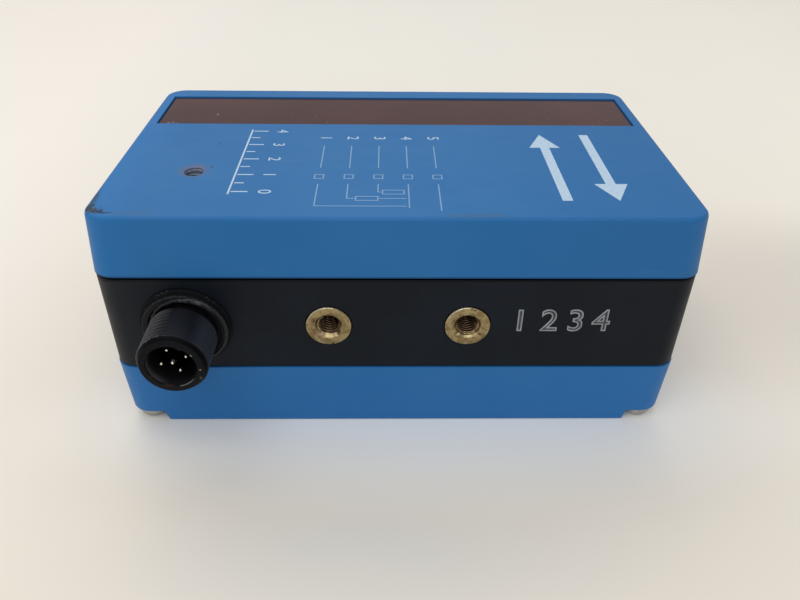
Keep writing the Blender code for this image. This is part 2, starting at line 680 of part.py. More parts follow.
def plug_body():
    thread, socket, collar = PLUG_THREAD_RADIUS, SOCKET_RADIUS, COLLAR_RADIUS
    soft = PLUG_TIP_CHAMFER / 3
    neck = thread - THREAD_RELIEF
    ridge = thread + COLLAR_GROOVE_WIDTH
    valley = COLLAR_FRONT - COLLAR_GROOVE_DEPTH
    clip_top = -SLEEVE_DEPTH - SEAL_GAP / 2
    clip_low = -SLEEVE_DEPTH - CLIP_THICKNESS - GAP - SEAL_GAP
    back = -NECK_DEPTH
    shoulder = socket + CARRIER_SHOULDER
    profile = [
        (thread - PLUG_TIP_CHAMFER, PLUG_REACH),
        (thread, PLUG_REACH - PLUG_TIP_TAPER),
        (thread, THREAD_END),
        (neck, THREAD_END - soft),
        (neck, valley),
        (ridge, valley),
        (ridge, COLLAR_FRONT),
        (collar - soft, COLLAR_FRONT),
        (collar, COLLAR_FRONT - soft),
        (collar, COLLAR_BACK),
        (thread, COLLAR_BACK),
        (thread, clip_top),
        (thread - CLIP_GROOVE, clip_top),
        (thread - CLIP_GROOVE, clip_low),
        (thread, clip_low),
        (thread, back + soft),
        (thread - soft, back),
        (shoulder, back),
        (shoulder, -CARRIER_STEP),
        (socket, -CARRIER_STEP),
        (socket, PLUG_REACH - SOCKET_CHAMFER),
        (socket + SOCKET_CHAMFER, PLUG_REACH),
    ]
    body = turned("connector_body", profile, LARGE_SEGMENTS, BLACK, ring=True)
    face_outwards(body, PLUG_X, AXIS_HEIGHT)
    angle = math.radians(KEY_ANGLE)
    key_span = (PLUG_REACH - SOCKET_DEPTH + GAP, PLUG_REACH - SOCKET_CHAMFER * 2)
    key = cylinder("socket_key", KEY_RADIUS, key_span,
                   (socket * math.cos(angle), socket * math.sin(angle)), SMALL_SEGMENTS)
    join(body, face_outwards(key, PLUG_X, AXIS_HEIGHT))


def plug_seal():
    """Ring between the collar and the wall, with a ridge as wide as the collar and a wider one behind."""
    top, low = COLLAR_BACK - SEAL_GAP, SEAL_GAP
    middle = (top + low) / 2
    inner, wide = PLUG_THREAD_RADIUS + GAP, COLLAR_RADIUS + RING_FLARE
    profile = [(COLLAR_RADIUS - RING_GROOVE, top), (COLLAR_RADIUS, middle), (wide, middle), (wide, low),
               (inner, low), (inner, top)]
    face_outwards(turned("connector_seal", profile, LARGE_SEGMENTS, RUBBER, ring=True), PLUG_X, AXIS_HEIGHT)


def plug_clip():
    """Open retaining ring in the groove of the neck, behind the sleeve."""
    top = -SLEEVE_DEPTH - GAP
    low = top - CLIP_THICKNESS
    inner = PLUG_THREAD_RADIUS - CLIP_GROOVE + GAP
    outer = inner + CLIP_WIDTH
    profile = [(outer, top), (outer, low), (inner, low), (inner, top)]
    clip = turned("connector_clip", profile, MEDIUM_SEGMENTS, STEEL, ring=True)
    face_outwards(clip, PLUG_X, AXIS_HEIGHT)
    mouth = block("clip_mouth", around(0, CLIP_MOUTH / 2), (-outer - OVERSHOOT, 0),
                  (low - OVERSHOOT, top + OVERSHOOT))
    cut(clip, face_outwards(mouth, PLUG_X, AXIS_HEIGHT))


def pin_places():
    """Each pin's place in the plug's face: the circle of four first, then the centre."""
    places = []
    for index in range(PIN_COUNT):
        angle = math.radians(FIRST_PIN_ANGLE) + index * math.tau / PIN_COUNT
        places.append((PIN_CIRCLE_RADIUS * math.cos(angle), PIN_CIRCLE_RADIUS * math.sin(angle)))
    return [*places, (0.0, 0.0)]


def pins_and_carrier():
    front = PLUG_REACH - SOCKET_DEPTH
    body, shoulder = SOCKET_RADIUS - GAP, SOCKET_RADIUS + CARRIER_SHOULDER - GAP
    back = -NECK_DEPTH + GAP
    profile = [(0, front), (body, front), (body, -CARRIER_STEP - GAP), (shoulder, -CARRIER_STEP - GAP),
               (shoulder, back), (0, back)]
    carrier = face_outwards(turned("pin_carrier", profile, MEDIUM_SEGMENTS, BLACK), PLUG_X, AXIS_HEIGHT)
    board_span = (-PLUG_BOARD_BACK, -PLUG_BOARD_FRONT)
    board = cylinder("connector_board", PLUG_THREAD_RADIUS - SEAL_GAP, board_span, (0, 0), MEDIUM_SEGMENTS,
                     material=LAMINATE)
    face_outwards(board, PLUG_X, AXIS_HEIGHT)
    tail = -PLUG_BOARD_BACK - PIN_TAIL
    radius = PIN_RADIUS
    for index, at in enumerate(pin_places()):
        name = f"contact_pin_{index + 1}"
        tip = PLUG_REACH - PIN_RECESS + (CENTRE_PIN_EXTRA if index == PIN_COUNT else 0)
        profile = [(0, tip), (radius * PIN_POINT, tip - radius * PIN_POINT_HEIGHT), (radius, tip - radius),
                   (radius, tail), (0, tail)]
        pin = turned(name, profile, PIN_SEGMENTS, GILT)
        pin.location = (PLUG_X + at[0], FRONT, AXIS_HEIGHT + at[1])
        pin.rotation_euler = (math.pi / 2, 0, 0)
        hole = cylinder(f"{name}_hole", HOLE, (tail - OVERSHOOT, front + OVERSHOOT), at, PIN_SEGMENTS)
        face_outwards(hole, PLUG_X, AXIS_HEIGHT)
        cut(carrier, hole)
        cut(board, hole)


def main_board():
    outline = chamber_outline(WALL + BOARD_MARGIN)
    board = prism("main_board", outline, (BOARD_LEVEL, BOARD_TOP), LAMINATE)
    low = SEAT - BOARD_SCREW_LENGTH
    head, shank = BOARD_SCREW_HEAD_RADIUS, BOARD_SCREW_RADIUS
    top = SEAT + BOARD_SCREW_HEAD_HEIGHT
    profile = [(0, top), (head * PAN_HEAD_TOP, top), (head, SEAT + head * PAN_HEAD_RIM), (head, SEAT),
               (shank, SEAT), (shank, low + shank), (0, low)]
    for index, at in enumerate(standoff_places()):
        screw = turned(f"board_screw_{index + 1}", profile, SMALL_SEGMENTS, STEEL)
        screw.location = (*at, 0)
        cut(board, cylinder(f"board_hole_{index + 1}", BOARD_SCREW_RADIUS + GAP,
                            (BOARD_LEVEL - OVERSHOOT, BOARD_TOP + OVERSHOOT), at, SMALL_SEGMENTS))


def board_components():
    """Flat cases and cans in two rows on the board, under the insert bosses."""
    front_row = FRONT + FRONT_ROW
    rear_row = front_row + ROW_PITCH
    block("controller_chip", around(CHIP_X, CHIP_SIZE / 2), around(rear_row, CHIP_SIZE / 2),
          (SEAT, SEAT + CHIP_HEIGHT), CASE, CHIP_HEIGHT / 6)
    block("output_driver", around(DRIVER_X, DRIVER_LENGTH / 2), around(rear_row, DRIVER_DEPTH / 2),
          (SEAT, SEAT + DRIVER_HEIGHT), CASE, DRIVER_HEIGHT / 6)
    top = SEAT + CHOKE_HEIGHT
    radius, waist = CHOKE_RADIUS, CHOKE_RADIUS - CHOKE_FLANGE
    profile = [(0, top), (radius, top), (radius, top - CHOKE_FLANGE), (waist, top - CHOKE_FLANGE),
               (waist, SEAT + CHOKE_FLANGE), (radius, SEAT + CHOKE_FLANGE), (radius, SEAT), (0, SEAT)]
    choke = turned("supply_choke", profile, MEDIUM_SEGMENTS, CASE)
    choke.location = (DRIVER_X, front_row, 0)
    top, soft = SEAT + CAPACITOR_HEIGHT, CAPACITOR_RADIUS / 8
    crimp = SEAT + CAPACITOR_HEIGHT / 5
    radius = CAPACITOR_RADIUS
    profile = [(0, top), (radius - soft, top), (radius, top - soft), (radius, crimp + soft),
               (radius - soft, crimp), (radius, crimp - soft), (radius, SEAT), (0, SEAT)]
    for index in range(2):
        can = turned(f"filter_capacitor_{index + 1}", profile, MEDIUM_SEGMENTS, CAN)
        can.location = (SIDE - CAPACITOR_INSET - (1 - index) * CAPACITOR_PITCH, front_row, 0)


def ribbon():
    """Flat cable from the back of the connector board down into its socket on the main board."""
    slot_middle = SEAT + CABLE_SOCKET_HEIGHT / 2
    start_y = FRONT + PLUG_BOARD_BACK + GAP + RIBBON_THICKNESS / 2
    start_z = AXIS_HEIGHT - PIN_CIRCLE_RADIUS - PIN_RADIUS - GAP
    bend_y, bend_z = start_y + RIBBON_BEND, slot_middle + RIBBON_BEND
    socket_front = bend_y + RIBBON_BEND / 2
    path = [(start_y, start_z)]
    for step in range(EDGE_SEGMENTS * 2 + 1):
        angle = math.pi + math.pi / 2 * step / (EDGE_SEGMENTS * 2)
        path.append((bend_y + RIBBON_BEND * math.cos(angle), bend_z + RIBBON_BEND * math.sin(angle)))
    path.append((socket_front + RIBBON_GRIP, slot_middle))
    mesh = bmesh.new()
    left, right = around(PLUG_X, RIBBON_WIDTH / 2)
    rows = [(mesh.verts.new((left, y, z)), mesh.verts.new((right, y, z))) for y, z in path]
    for near, far in zip(rows, rows[1:]):
        mesh.faces.new((near[0], near[1], far[1], far[0]))
    cable = keep("ribbon_cable", mesh, AMBER)
    thick = cable.modifiers.new("thick", "SOLIDIFY")
    thick.thickness = RIBBON_THICKNESS
    thick.offset = 0
    socket = block("cable_socket", around(PLUG_X, CABLE_SOCKET_LENGTH / 2),
                   (socket_front, socket_front + CABLE_SOCKET_DEPTH),
                   (SEAT, SEAT + CABLE_SOCKET_HEIGHT), CASE)
    slot = block("cable_slot", around(PLUG_X, RIBBON_WIDTH / 2 + GAP),
                 (socket_front - OVERSHOOT, socket_front + RIBBON_GRIP + GAP),
                 around(slot_middle, RIBBON_THICKNESS / 2 + GAP))
    cut(socket, slot)


def lens_places():
    return (("emitter", -LENS_SPACING / 2), ("receiver", LENS_SPACING / 2))


def optics_carrier():
    """Top plate under the window, a light funnel below each lens, a web between and two legs."""
    plate_low = CARRIER_TOP - CARRIER_PLATE
    under = (SEAT, plate_low + CARRIER_PLATE / 2)
    half = SIDE - CARRIER_END_INSET
    carrier = block("optics_carrier", around(0, half), around(WINDOW_Y, CARRIER_HALF_DEPTH),
                    (plate_low, CARRIER_TOP), BLACK)
    seat_radius = LENS_RADIUS + GAP
    funnel_top = seat_radius - LENS_SEAT_LIP
    for side in (-1, 1):
        inner = half - CARRIER_LEG
        span = sorted((side * inner, side * half))
        leg = block(f"carrier_leg_{side + 1}", span, around(WINDOW_Y, CARRIER_LEG_DEPTH / 2), under)
        join(carrier, leg)
    web = block("carrier_web", around(0, LENS_SPACING / 2), around(WINDOW_Y, RIB / 2),
                (BAND_LOW, under[1]))
    join(carrier, web)
    for name, x in lens_places():
        outer = cylinder(f"{name}_funnel", FUNNEL_FOOT_RADIUS + FUNNEL_WALL, under, (x, WINDOW_Y),
                         MEDIUM_SEGMENTS, seat_radius + FUNNEL_WALL)
        join(carrier, outer)
    for name, x in lens_places():
        seat = cylinder(f"{name}_seat", seat_radius, (LENS_SEAT, CARRIER_TOP + OVERSHOOT), (x, WINDOW_Y),
                        MEDIUM_SEGMENTS)
        slope = (funnel_top - FUNNEL_FOOT_RADIUS) / (LENS_SEAT - SEAT)
        light = cylinder(f"{name}_light", FUNNEL_FOOT_RADIUS - slope * OVERSHOOT,
                         (SEAT - OVERSHOOT, LENS_SEAT + GAP), (x, WINDOW_Y), MEDIUM_SEGMENTS,
                         funnel_top + slope * GAP)
        cut(carrier, seat, light)


def lenses():
    """Flat below, crowned above, with a rim that sits on the funnel's lip."""
    low = LENS_SEAT + GAP
    rim = low + LENS_RIM
    crown = LENS_RADIUS * LENS_CROWN_REACH
    profile = []
    for step in range(LENS_SEGMENTS):
        angle = math.pi / 2 * step / LENS_SEGMENTS
        profile.append((crown * math.sin(angle), rim + LENS_CROWN * math.cos(angle)))
    profile += [(crown, rim), (LENS_RADIUS, rim), (LENS_RADIUS, low), (0, low)]
    film_low = rim + LENS_CROWN + GAP
    film = [(0, film_low + POLARIZER_THICKNESS), (LENS_RADIUS, film_low + POLARIZER_THICKNESS),
            (LENS_RADIUS, film_low), (0, film_low)]
    for name, x in lens_places():
        for piece in (turned(f"{name}_lens", profile, MEDIUM_SEGMENTS, CLEAR),
                      turned(f"{name}_polarizer", film, MEDIUM_SEGMENTS, FILM)):
            piece.location = (x, WINDOW_Y, 0)


def emitter_and_receiver():
    radius, flange = EMITTER_RADIUS, EMITTER_RADIUS + EMITTER_FLANGE
    top = SEAT + EMITTER_HEIGHT
    profile = []
    for step in range(LENS_SEGMENTS):
        angle = math.pi / 2 * step / LENS_SEGMENTS
        profile.append((radius * math.sin(angle), top - radius + radius * math.cos(angle)))
    profile += [(radius, top - radius), (radius, SEAT + EMITTER_FLANGE_HEIGHT),
                (flange, SEAT + EMITTER_FLANGE_HEIGHT), (flange, SEAT), (0, SEAT)]
    (_, emitter_x), (_, receiver_x) = lens_places()
    led = turned("emitter_led", profile, SMALL_SEGMENTS, CLEAR)
    led.location = (emitter_x, WINDOW_Y, 0)
    block("receiver_diode", around(receiver_x, RECEIVER_SIZE / 2), around(WINDOW_Y, RECEIVER_SIZE / 2),
          (SEAT, SEAT + RECEIVER_HEIGHT), CASE, RECEIVER_HEIGHT / 8)


def build():
    holes = screw_holes()
    lower_cover(holes)
    middle_frame(holes)
    upper_cover(holes)
    window()
    housing_seal("lower_seal", LOWER_LEDGE + SEAL_GAP)
    housing_seal("upper_seal", TONGUE_HIGH + SEAL_GAP)
    corner_screws()
    lock_screw()
    inserts()
    plug_body()
    plug_seal()
    plug_clip()
    pins_and_carrier()
    main_board()
    board_components()
    ribbon()
    optics_carrier()
    lenses()
    emitter_and_receiver()


build()
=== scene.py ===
"""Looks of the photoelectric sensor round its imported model.

Finer pieces, materials, print, camera and light are added here.
Everything is in metres in the model's frame: +X along the housing, -Y out of the plug face, +Z up.
"""

import math
import random

import bmesh
import bpy
from mathutils import Matrix, Vector


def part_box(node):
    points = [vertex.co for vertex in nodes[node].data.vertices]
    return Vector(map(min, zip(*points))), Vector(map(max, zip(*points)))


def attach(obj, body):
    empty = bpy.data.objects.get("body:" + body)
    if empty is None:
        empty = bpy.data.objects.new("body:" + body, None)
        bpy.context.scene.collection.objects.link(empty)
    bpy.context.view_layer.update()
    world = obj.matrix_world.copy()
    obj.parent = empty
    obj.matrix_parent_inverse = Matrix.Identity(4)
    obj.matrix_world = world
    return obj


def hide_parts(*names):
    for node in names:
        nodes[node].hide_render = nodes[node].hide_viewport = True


MM = 0.001
TURN = math.tau

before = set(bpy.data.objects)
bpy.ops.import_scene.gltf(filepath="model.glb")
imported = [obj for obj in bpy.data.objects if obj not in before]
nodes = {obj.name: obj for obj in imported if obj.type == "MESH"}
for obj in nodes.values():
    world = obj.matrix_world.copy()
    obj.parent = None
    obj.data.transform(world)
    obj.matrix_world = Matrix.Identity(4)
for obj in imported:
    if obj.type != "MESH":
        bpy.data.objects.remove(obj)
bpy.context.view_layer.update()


def mm(*values):
    """Lengths in millimetres, such as the reach of a mark in each direction."""
    return tuple(value * MM for value in values)


def middle(node):
    low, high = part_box(node)
    return (low + high) / 2


def foot(node):
    """Where an upright piece's axis meets the base plane."""
    centre = middle(node)
    return Vector((centre.x, centre.y, 0))


def face_point(node):
    """Where a turned piece's axis meets the plane of the plug face."""
    centre = middle(node)
    return Vector((centre.x, FACE_Y, centre.z))


# the housing
HALF_LENGTH = 53.0 * MM
FACE_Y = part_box("lower_cover")[0].y
TOP_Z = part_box("upper_cover")[1].z
RIM_Z = TOP_Z - 10.95 * MM
SEAM_Z = TOP_Z - 12.0 * MM
PANE_DEPTH_MM = 0.5
LOCK_MIDDLE = middle("lock_screw")
INSERTS = ("insert_left", "insert_right")
LEFT, RIGHT = (face_point(name) for name in INSERTS)

# the plug: radii, and places outwards from the plug face
PLUG_MIDDLE = middle("connector_body")
THREAD_RADIUS = 6.0 * MM
SOCKET_RADIUS = 4.22 * MM
COLLAR_RADIUS = 7.5 * MM
TIP = FACE_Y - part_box("connector_body")[0].y
SHOULDER = TIP - 1.1 * MM
COLLAR_FRONT = 1.5 * MM
COLLAR_BACK = 0.9 * MM
RING_MIDDLE = COLLAR_FRONT + 0.5 * MM
SEAL_FRONT = 0.4 * MM

# the plug's thread shows on two sides: the angle of the left one, then for each side the cosine of the
# angle from it at which the thread starts, and its depth
THREAD_SIDE = math.radians(152)
LEFT_THREAD = (0.55, 0.4 * MM)
RIGHT_THREAD = (0.6, 0.1 * MM)
PLUG_PITCH = 1.0 * MM
INSERT_PITCH = 0.7 * MM
THREAD_FLAT = 0.15

# print, and the angles above which an edge stays sharp
PRINT_Z = TOP_Z + 0.004 * MM
INK_THICKNESS = 0.012 * MM
SHARP_ANGLE = 35.0
TURNED_ANGLE = 50.0

# scales for Paint.distance that measure it from an axis along Y, or from an upright one
ROUND_Y = (1, 0, 1)
ROUND_Z = (1, 1, 0)


def on_top(x, y, depth=0.0):
    """A point on or under the top face, in millimetres, with y measured from the plug face."""
    return Vector((x * MM, FACE_Y + y * MM, TOP_Z - depth * MM))


def on_plug(radius, degrees, along):
    """A point round the plug's axis, at a distance outwards from the plug face."""
    turn = math.radians(degrees)
    reach = Vector((radius * math.cos(turn), -along, radius * math.sin(turn)))
    return face_point("connector_body") + reach


class Paint:
    """A node material that is built up in a few lines. Texture coordinates are the model's own metres."""

    def __init__(self, name, color, roughness, metallic=0.0, specular=0.5):
        self.material = bpy.data.materials.new(name)
        self.material.use_nodes = True
        self.material.diffuse_color = (*color, 1.0)
        self.tree = self.material.node_tree
        self.shader = self.tree.nodes["Principled BSDF"]
        self.shader.inputs["Base Color"].default_value = (*color, 1.0)
        self.shader.inputs["Roughness"].default_value = roughness
        self.shader.inputs["Metallic"].default_value = metallic
        self.shader.inputs["Specular IOR Level"].default_value = specular
        self.place = self.node("ShaderNodeTexCoord").outputs["Object"]

    def node(self, kind, inputs=None, **settings):
        """A new node: an input is a value or another node's socket."""
        made = self.tree.nodes.new(kind)
        for key, value in settings.items():
            setattr(made, key, value)
        for key, value in (inputs or {}).items():
            if isinstance(value, bpy.types.NodeSocket):
                self.tree.links.new(value, made.inputs[key])
            else:
                made.inputs[key].default_value = value
        return made

    def noise(self, size, detail, roughness=0.5, place=None):
        """Noise whose features are about that size in metres."""
        made = self.node("ShaderNodeTexNoise", {"Vector": place or self.place, "Scale": 1 / size,
                                                "Detail": detail, "Roughness": roughness})
        return made.outputs["Fac"]

    def stretched(self, scale):
        """The place with each direction scaled, for noise that runs along one of them."""
        return self.node("ShaderNodeVectorMath", {0: self.place, 1: scale}, operation="MULTIPLY").outputs[0]

    def ramp(self, value, low, high, out_low=0.0, out_high=1.0):
        """A smooth step of the value from low to high; low may be the larger one."""
        made = self.node("ShaderNodeMapRange", {"Value": value, "From Min": low, "From Max": high,
                                                "To Min": out_low, "To Max": out_high})
        made.interpolation_type = "SMOOTHSTEP"
        return made.outputs["Result"]

    def math(self, operation, first, second):
        return self.node("ShaderNodeMath", {0: first, 1: second}, operation=operation).outputs[0]

    def times(self, first, second):
        """A mask times another one, or times an amount."""
        return self.math("MULTIPLY", first, second)

    def tint(self, mask, color):
        """Lays a colour over what is there, where the mask is 1."""
        base = self.shader.inputs["Base Color"]
        made = self.node("ShaderNodeMix", {"Factor": mask}, data_type="RGBA")
        under, over = made.inputs[6], made.inputs[7]
        if base.is_linked:
            self.tree.links.new(base.links[0].from_socket, under)
        else:
            under.default_value = base.default_value
        over.default_value = (*color, 1.0)
        self.tree.links.new(made.outputs[2], base)

    def rough(self, mask, low, high):
        """Roughness from low where the mask is 0 to high where it is 1."""
        value = self.ramp(mask, 0.0, 1.0, low, high)
        self.tree.links.new(value, self.shader.inputs["Roughness"])

    def bump(self, value, depth, strength):
        """Relief of that depth in metres."""
        made = self.node("ShaderNodeBump", {"Height": value, "Distance": depth, "Strength": strength})
        self.tree.links.new(made.outputs["Normal"], self.shader.inputs["Normal"])

    def distance(self, centre, scale):
        """How far a point is from the centre, once each direction is scaled."""
        away = self.node("ShaderNodeVectorMath", {0: self.place, 1: centre}, operation="SUBTRACT").outputs[0]
        scaled = self.node("ShaderNodeVectorMath", {0: away, 1: scale}, operation="MULTIPLY").outputs[0]
        return self.node("ShaderNodeVectorMath", {0: scaled}, operation="LENGTH").outputs["Value"]

    def along(self, axis, near, far):
        """0 before the first plane across that axis and 1 beyond the second one."""
        place = self.node("ShaderNodeSeparateXYZ", {"Vector": self.place}).outputs[axis]
        return self.ramp(place, near, far)

    def ring(self, away, inner, outer):
        """1 between two distances, with soft edges."""
        soft = (outer - inner) / 4
        return self.times(self.ramp(away, inner - soft, inner + soft),
                          self.ramp(away, outer + soft, outer - soft))

    def blotch(self, centre, reach, edge=0.5):
        """A ragged patch: 1 near the centre, 0 beyond the reach in each direction."""
        away = self.distance(centre, tuple(1 / length for length in reach))
        uneven = self.ramp(self.noise(0.6 * MM, 3.0, 0.65), 0.25, 0.75, -edge, edge)
        return self.ramp(self.math("ADD", away, uneven), 1.05, 0.45)


def add_marks(paint, marks):
    """Dirt, wear, painted highlights and painted shade: each mark has a centre, a reach, a colour and an
    amount. Small ones are even dots.
    """
    ragged, even, small = 0.5, 0.1, 0.7 * MM
    for centre, reach, color, amount in marks:
        patch = paint.blotch(centre, reach, ragged if max(reach) > small else even)
        paint.tint(paint.times(patch, amount), color)


def blue_paint(name, color, left, right):
    """Moulded blue plastic, cloudy and a little other at its left and right ends: painted light and shade
    there.
    """
    paint = Paint(name, color, 0.45, specular=0.22)
    paler = tuple(value + extra for value, extra in zip(color, (0.0055, 0.011, 0.015)))
    paint.tint(paint.ramp(paint.noise(22 * MM, 3.0), 0.35, 0.75), paler)
    # painted light and shade: the two ends take the tints passed in as left and right
    paint.tint(paint.along("X", -42 * MM, -HALF_LENGTH), left)
    paint.tint(paint.along("X", 5 * MM, 52 * MM), right)
    return paint


def rub_blue(paint):
    """Dark specks, and pale scratches along the housing."""
    paint.tint(paint.ramp(paint.noise(0.35 * MM, 2.0), 0.72, 0.8, 0.0, 0.35), (0.012, 0.07, 0.2))
    scratches = paint.noise(1.0 * MM, 2.0, place=paint.stretched((0.12, 1.6, 1.0)))
    paint.tint(paint.ramp(scratches, 0.7, 0.76, 0.0, 0.12), (0.12, 0.26, 0.45))


def wear_lock(paint):
    """Rubbed rounds about the lock screw, and its recess, which has a painted highlight along one line."""
    edge = 0.1 * MM
    for centre, scale, radius, tone, amount in LOCK_ROUNDS:
        patch = paint.ramp(paint.distance(centre, scale), radius + edge, radius - edge)
        uneven = paint.ramp(paint.noise(1.4 * MM, 3.0), 0.3, 0.7, amount * 0.6, amount)
        paint.tint(paint.times(patch, uneven), tone)
    line_top, line_low, soft = TOP_Z - 0.6 * MM, TOP_Z - 0.8 * MM, 0.05 * MM
    radius = 1.9 * MM
    recess = paint.ramp(paint.distance(LOCK_MIDDLE, ROUND_Z), radius + soft, radius - soft)
    upper = paint.times(recess, paint.along("Z", line_top - soft, line_top + soft))
    paint.tint(upper, WORN_BLUE)
    # painted highlight: a pale, ragged line round the recess wall
    line = paint.times(paint.along("Z", line_low - soft, line_low + soft),
                       paint.along("Z", line_top + soft, line_top - soft))
    worn = paint.ramp(paint.noise(0.6 * MM, 2.0), 0.4, 0.6, 0.3, 0.9)
    paint.tint(paint.times(paint.times(recess, line), worn), (0.6, 0.63, 0.72))


def finish_blue(paint):
    """An uneven sheen and a fine grain."""
    paint.rough(paint.noise(5 * MM, 3.0), 0.4, 0.55)
    paint.bump(paint.noise(0.16 * MM, 2.0), 0.012 * MM, 0.5)
    return paint.material


def cover_paint():
    """The upper cover: dirty at its left corner, worn at the lock screw, with painted shade at its dimple's
    edge and a painted highlight in its recess, and shaded below its rim.
    """
    color = (0.0152, 0.149, 0.4)
    # the left end is painted lighter and the right end darker, as light falls on them
    paint = blue_paint("blue_top", color, (0.0178, 0.17, 0.456), (0.0165, 0.14, 0.375))
    paint.tint(paint.along("Z", RIM_Z, RIM_Z - 0.3 * MM), tuple(value * 0.5 for value in color))
    rub_blue(paint)
    add_marks(paint, TOP_MARKS)
    wear_lock(paint)
    return finish_blue(paint)


def base_paint():
    """The lower cover: rubbed, but without marks."""
    # both ends are painted a little lighter, as light falls on them
    paint = blue_paint("blue_base", (0.0195, 0.156, 0.425), (0.028, 0.178, 0.48), (0.0205, 0.164, 0.445))
    rub_blue(paint)
    return finish_blue(paint)


def black_paint(name, color=(0.0043, 0.0072, 0.0122), roughness=(0.4, 0.54), grain=0.2 * MM, dust=0.3,
                specular=0.15, marks=()):
    """Black moulded plastic with dust and faint rubbed lines."""
    paint = Paint(name, color, roughness[0], specular=specular)
    paint.tint(paint.ramp(paint.noise(14 * MM, 3.0), 0.4, 0.8), tuple(value * 1.5 for value in color))
    specks = paint.noise(0.5 * MM, 2.0)
    paint.tint(paint.ramp(specks, 0.74, 0.8, 0.0, dust), (0.1, 0.1, 0.1))
    lines = paint.noise(0.8 * MM, 2.0, place=paint.stretched((0.1, 1.0, 2.0)))
    paint.tint(paint.ramp(lines, 0.68, 0.78, 0.0, dust * 0.3), (0.06, 0.06, 0.065))
    add_marks(paint, marks)
    paint.rough(paint.noise(3 * MM, 3.0), *roughness)
    paint.bump(paint.noise(grain, 2.0), 0.012 * MM, 0.5)
    return paint


def band_paint():
    """The band's black, with a painted sheen at the left corner, and painted shade in the seam under the
    upper cover and near it at each end.
    """
    paint = black_paint("band")
    # painted sheen at the left corner
    paint.tint(paint.along("X", -44 * MM, -52 * MM), (0.016, 0.0185, 0.0225))
    # painted shade along the seam under the upper cover, and in a wedge near it at each end
    shade = (0.0004, 0.0014, 0.004)
    paint.tint(paint.along("Z", SEAM_Z - 0.3 * MM, SEAM_Z - 0.1 * MM), shade)
    for end in (-1, 1):
        corner = Vector((end * HALF_LENGTH, FACE_Y, SEAM_Z))
        paint.tint(paint.ramp(paint.distance(corner, (1, 0, 5)), 3.6 * MM, 3.2 * MM), shade)
    return paint.material


def plug_paint(name, color, specular, sides=()):
    """The plug's worn black plastic, with painted shade in the socket, on the neck and on the tip's chamfer,
    and painted highlights.

    Each of the sides has two places in mm across from the axis, and a tint that grows between them: painted
    light on the plug's flanks.
    """
    paint = black_paint(name, color, (0.45, 0.65), 0.25 * MM, 0.4, specular, PLUG_MARKS)
    # painted light: the plug's flanks are paler
    for start, end, shade in sides:
        paint.tint(paint.along("X", PLUG_MIDDLE.x + start * MM, PLUG_MIDDLE.x + end * MM), shade)
    away = paint.distance(PLUG_MIDDLE, ROUND_Y)
    tip_y = FACE_Y - TIP
    # painted shade: near black deep in the socket, and in a ring that takes in the recessed neck and the
    # tip's chamfer
    deep = paint.along("Y", tip_y + 0.5 * MM, tip_y + 2.0 * MM)
    hollow = paint.ramp(away, SOCKET_RADIUS + 0.08 * MM, SOCKET_RADIUS - 0.02 * MM)
    paint.tint(paint.times(hollow, deep), PAINTED_SHADE)
    paint.tint(paint.ring(away, 5.4 * MM, 5.8 * MM), PAINTED_SHADE)
    brim = paint.ring(away, SOCKET_RADIUS + 0.02 * MM, SOCKET_RADIUS + 0.12 * MM)
    glint = paint.times(brim, paint.blotch(*SOCKET_GLINT))
    paint.tint(paint.times(glint, 0.55), BRIGHT)
    # painted highlight, ragged, on the upper half of the collar's rim
    ragged_highlight = paint.ramp(paint.noise(0.5 * MM, 3.0, 0.7), 0.4, 0.6, 0.0, 0.8)
    edge = paint.times(paint.ring(away, COLLAR_RADIUS - 0.3 * MM, COLLAR_RADIUS), ragged_highlight)
    upper = paint.along("Z", PLUG_MIDDLE.z, PLUG_MIDDLE.z + 5 * MM)
    paint.tint(paint.times(edge, upper), (0.03, 0.033, 0.038))
    return paint.material


def gilt_paint():
    """Gilt pins, painted dark towards the socket's floor as shade, so that only their ends glint."""
    paint = metal_paint("gilt", (0.92, 0.88, 0.78), 0.2, (0.75, 0.68, 0.5), 0.3 * MM)
    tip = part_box("contact_pin_1")[0].y
    paint.tint(paint.along("Y", tip + 0.15 * MM, tip + 0.5 * MM), (0.02, 0.015, 0.008))
    return paint.material


def window_paint():
    """Dark red filter, polished, with a few specks."""
    paint = Paint("window_filter", (0.052, 0.0125, 0.0105), 0.1, specular=0.255)
    paint.tint(paint.ramp(paint.noise(18 * MM, 2.0), 0.35, 0.7), (0.066, 0.0165, 0.0145))
    paint.tint(paint.ramp(paint.noise(0.45 * MM, 1.0), 0.765, 0.8), (0.3, 0.24, 0.17))
    add_marks(paint, WINDOW_MARKS)
    paint.rough(paint.ramp(paint.noise(4 * MM, 3.0), 0.45, 0.8), 0.08, 0.16)
    return paint.material


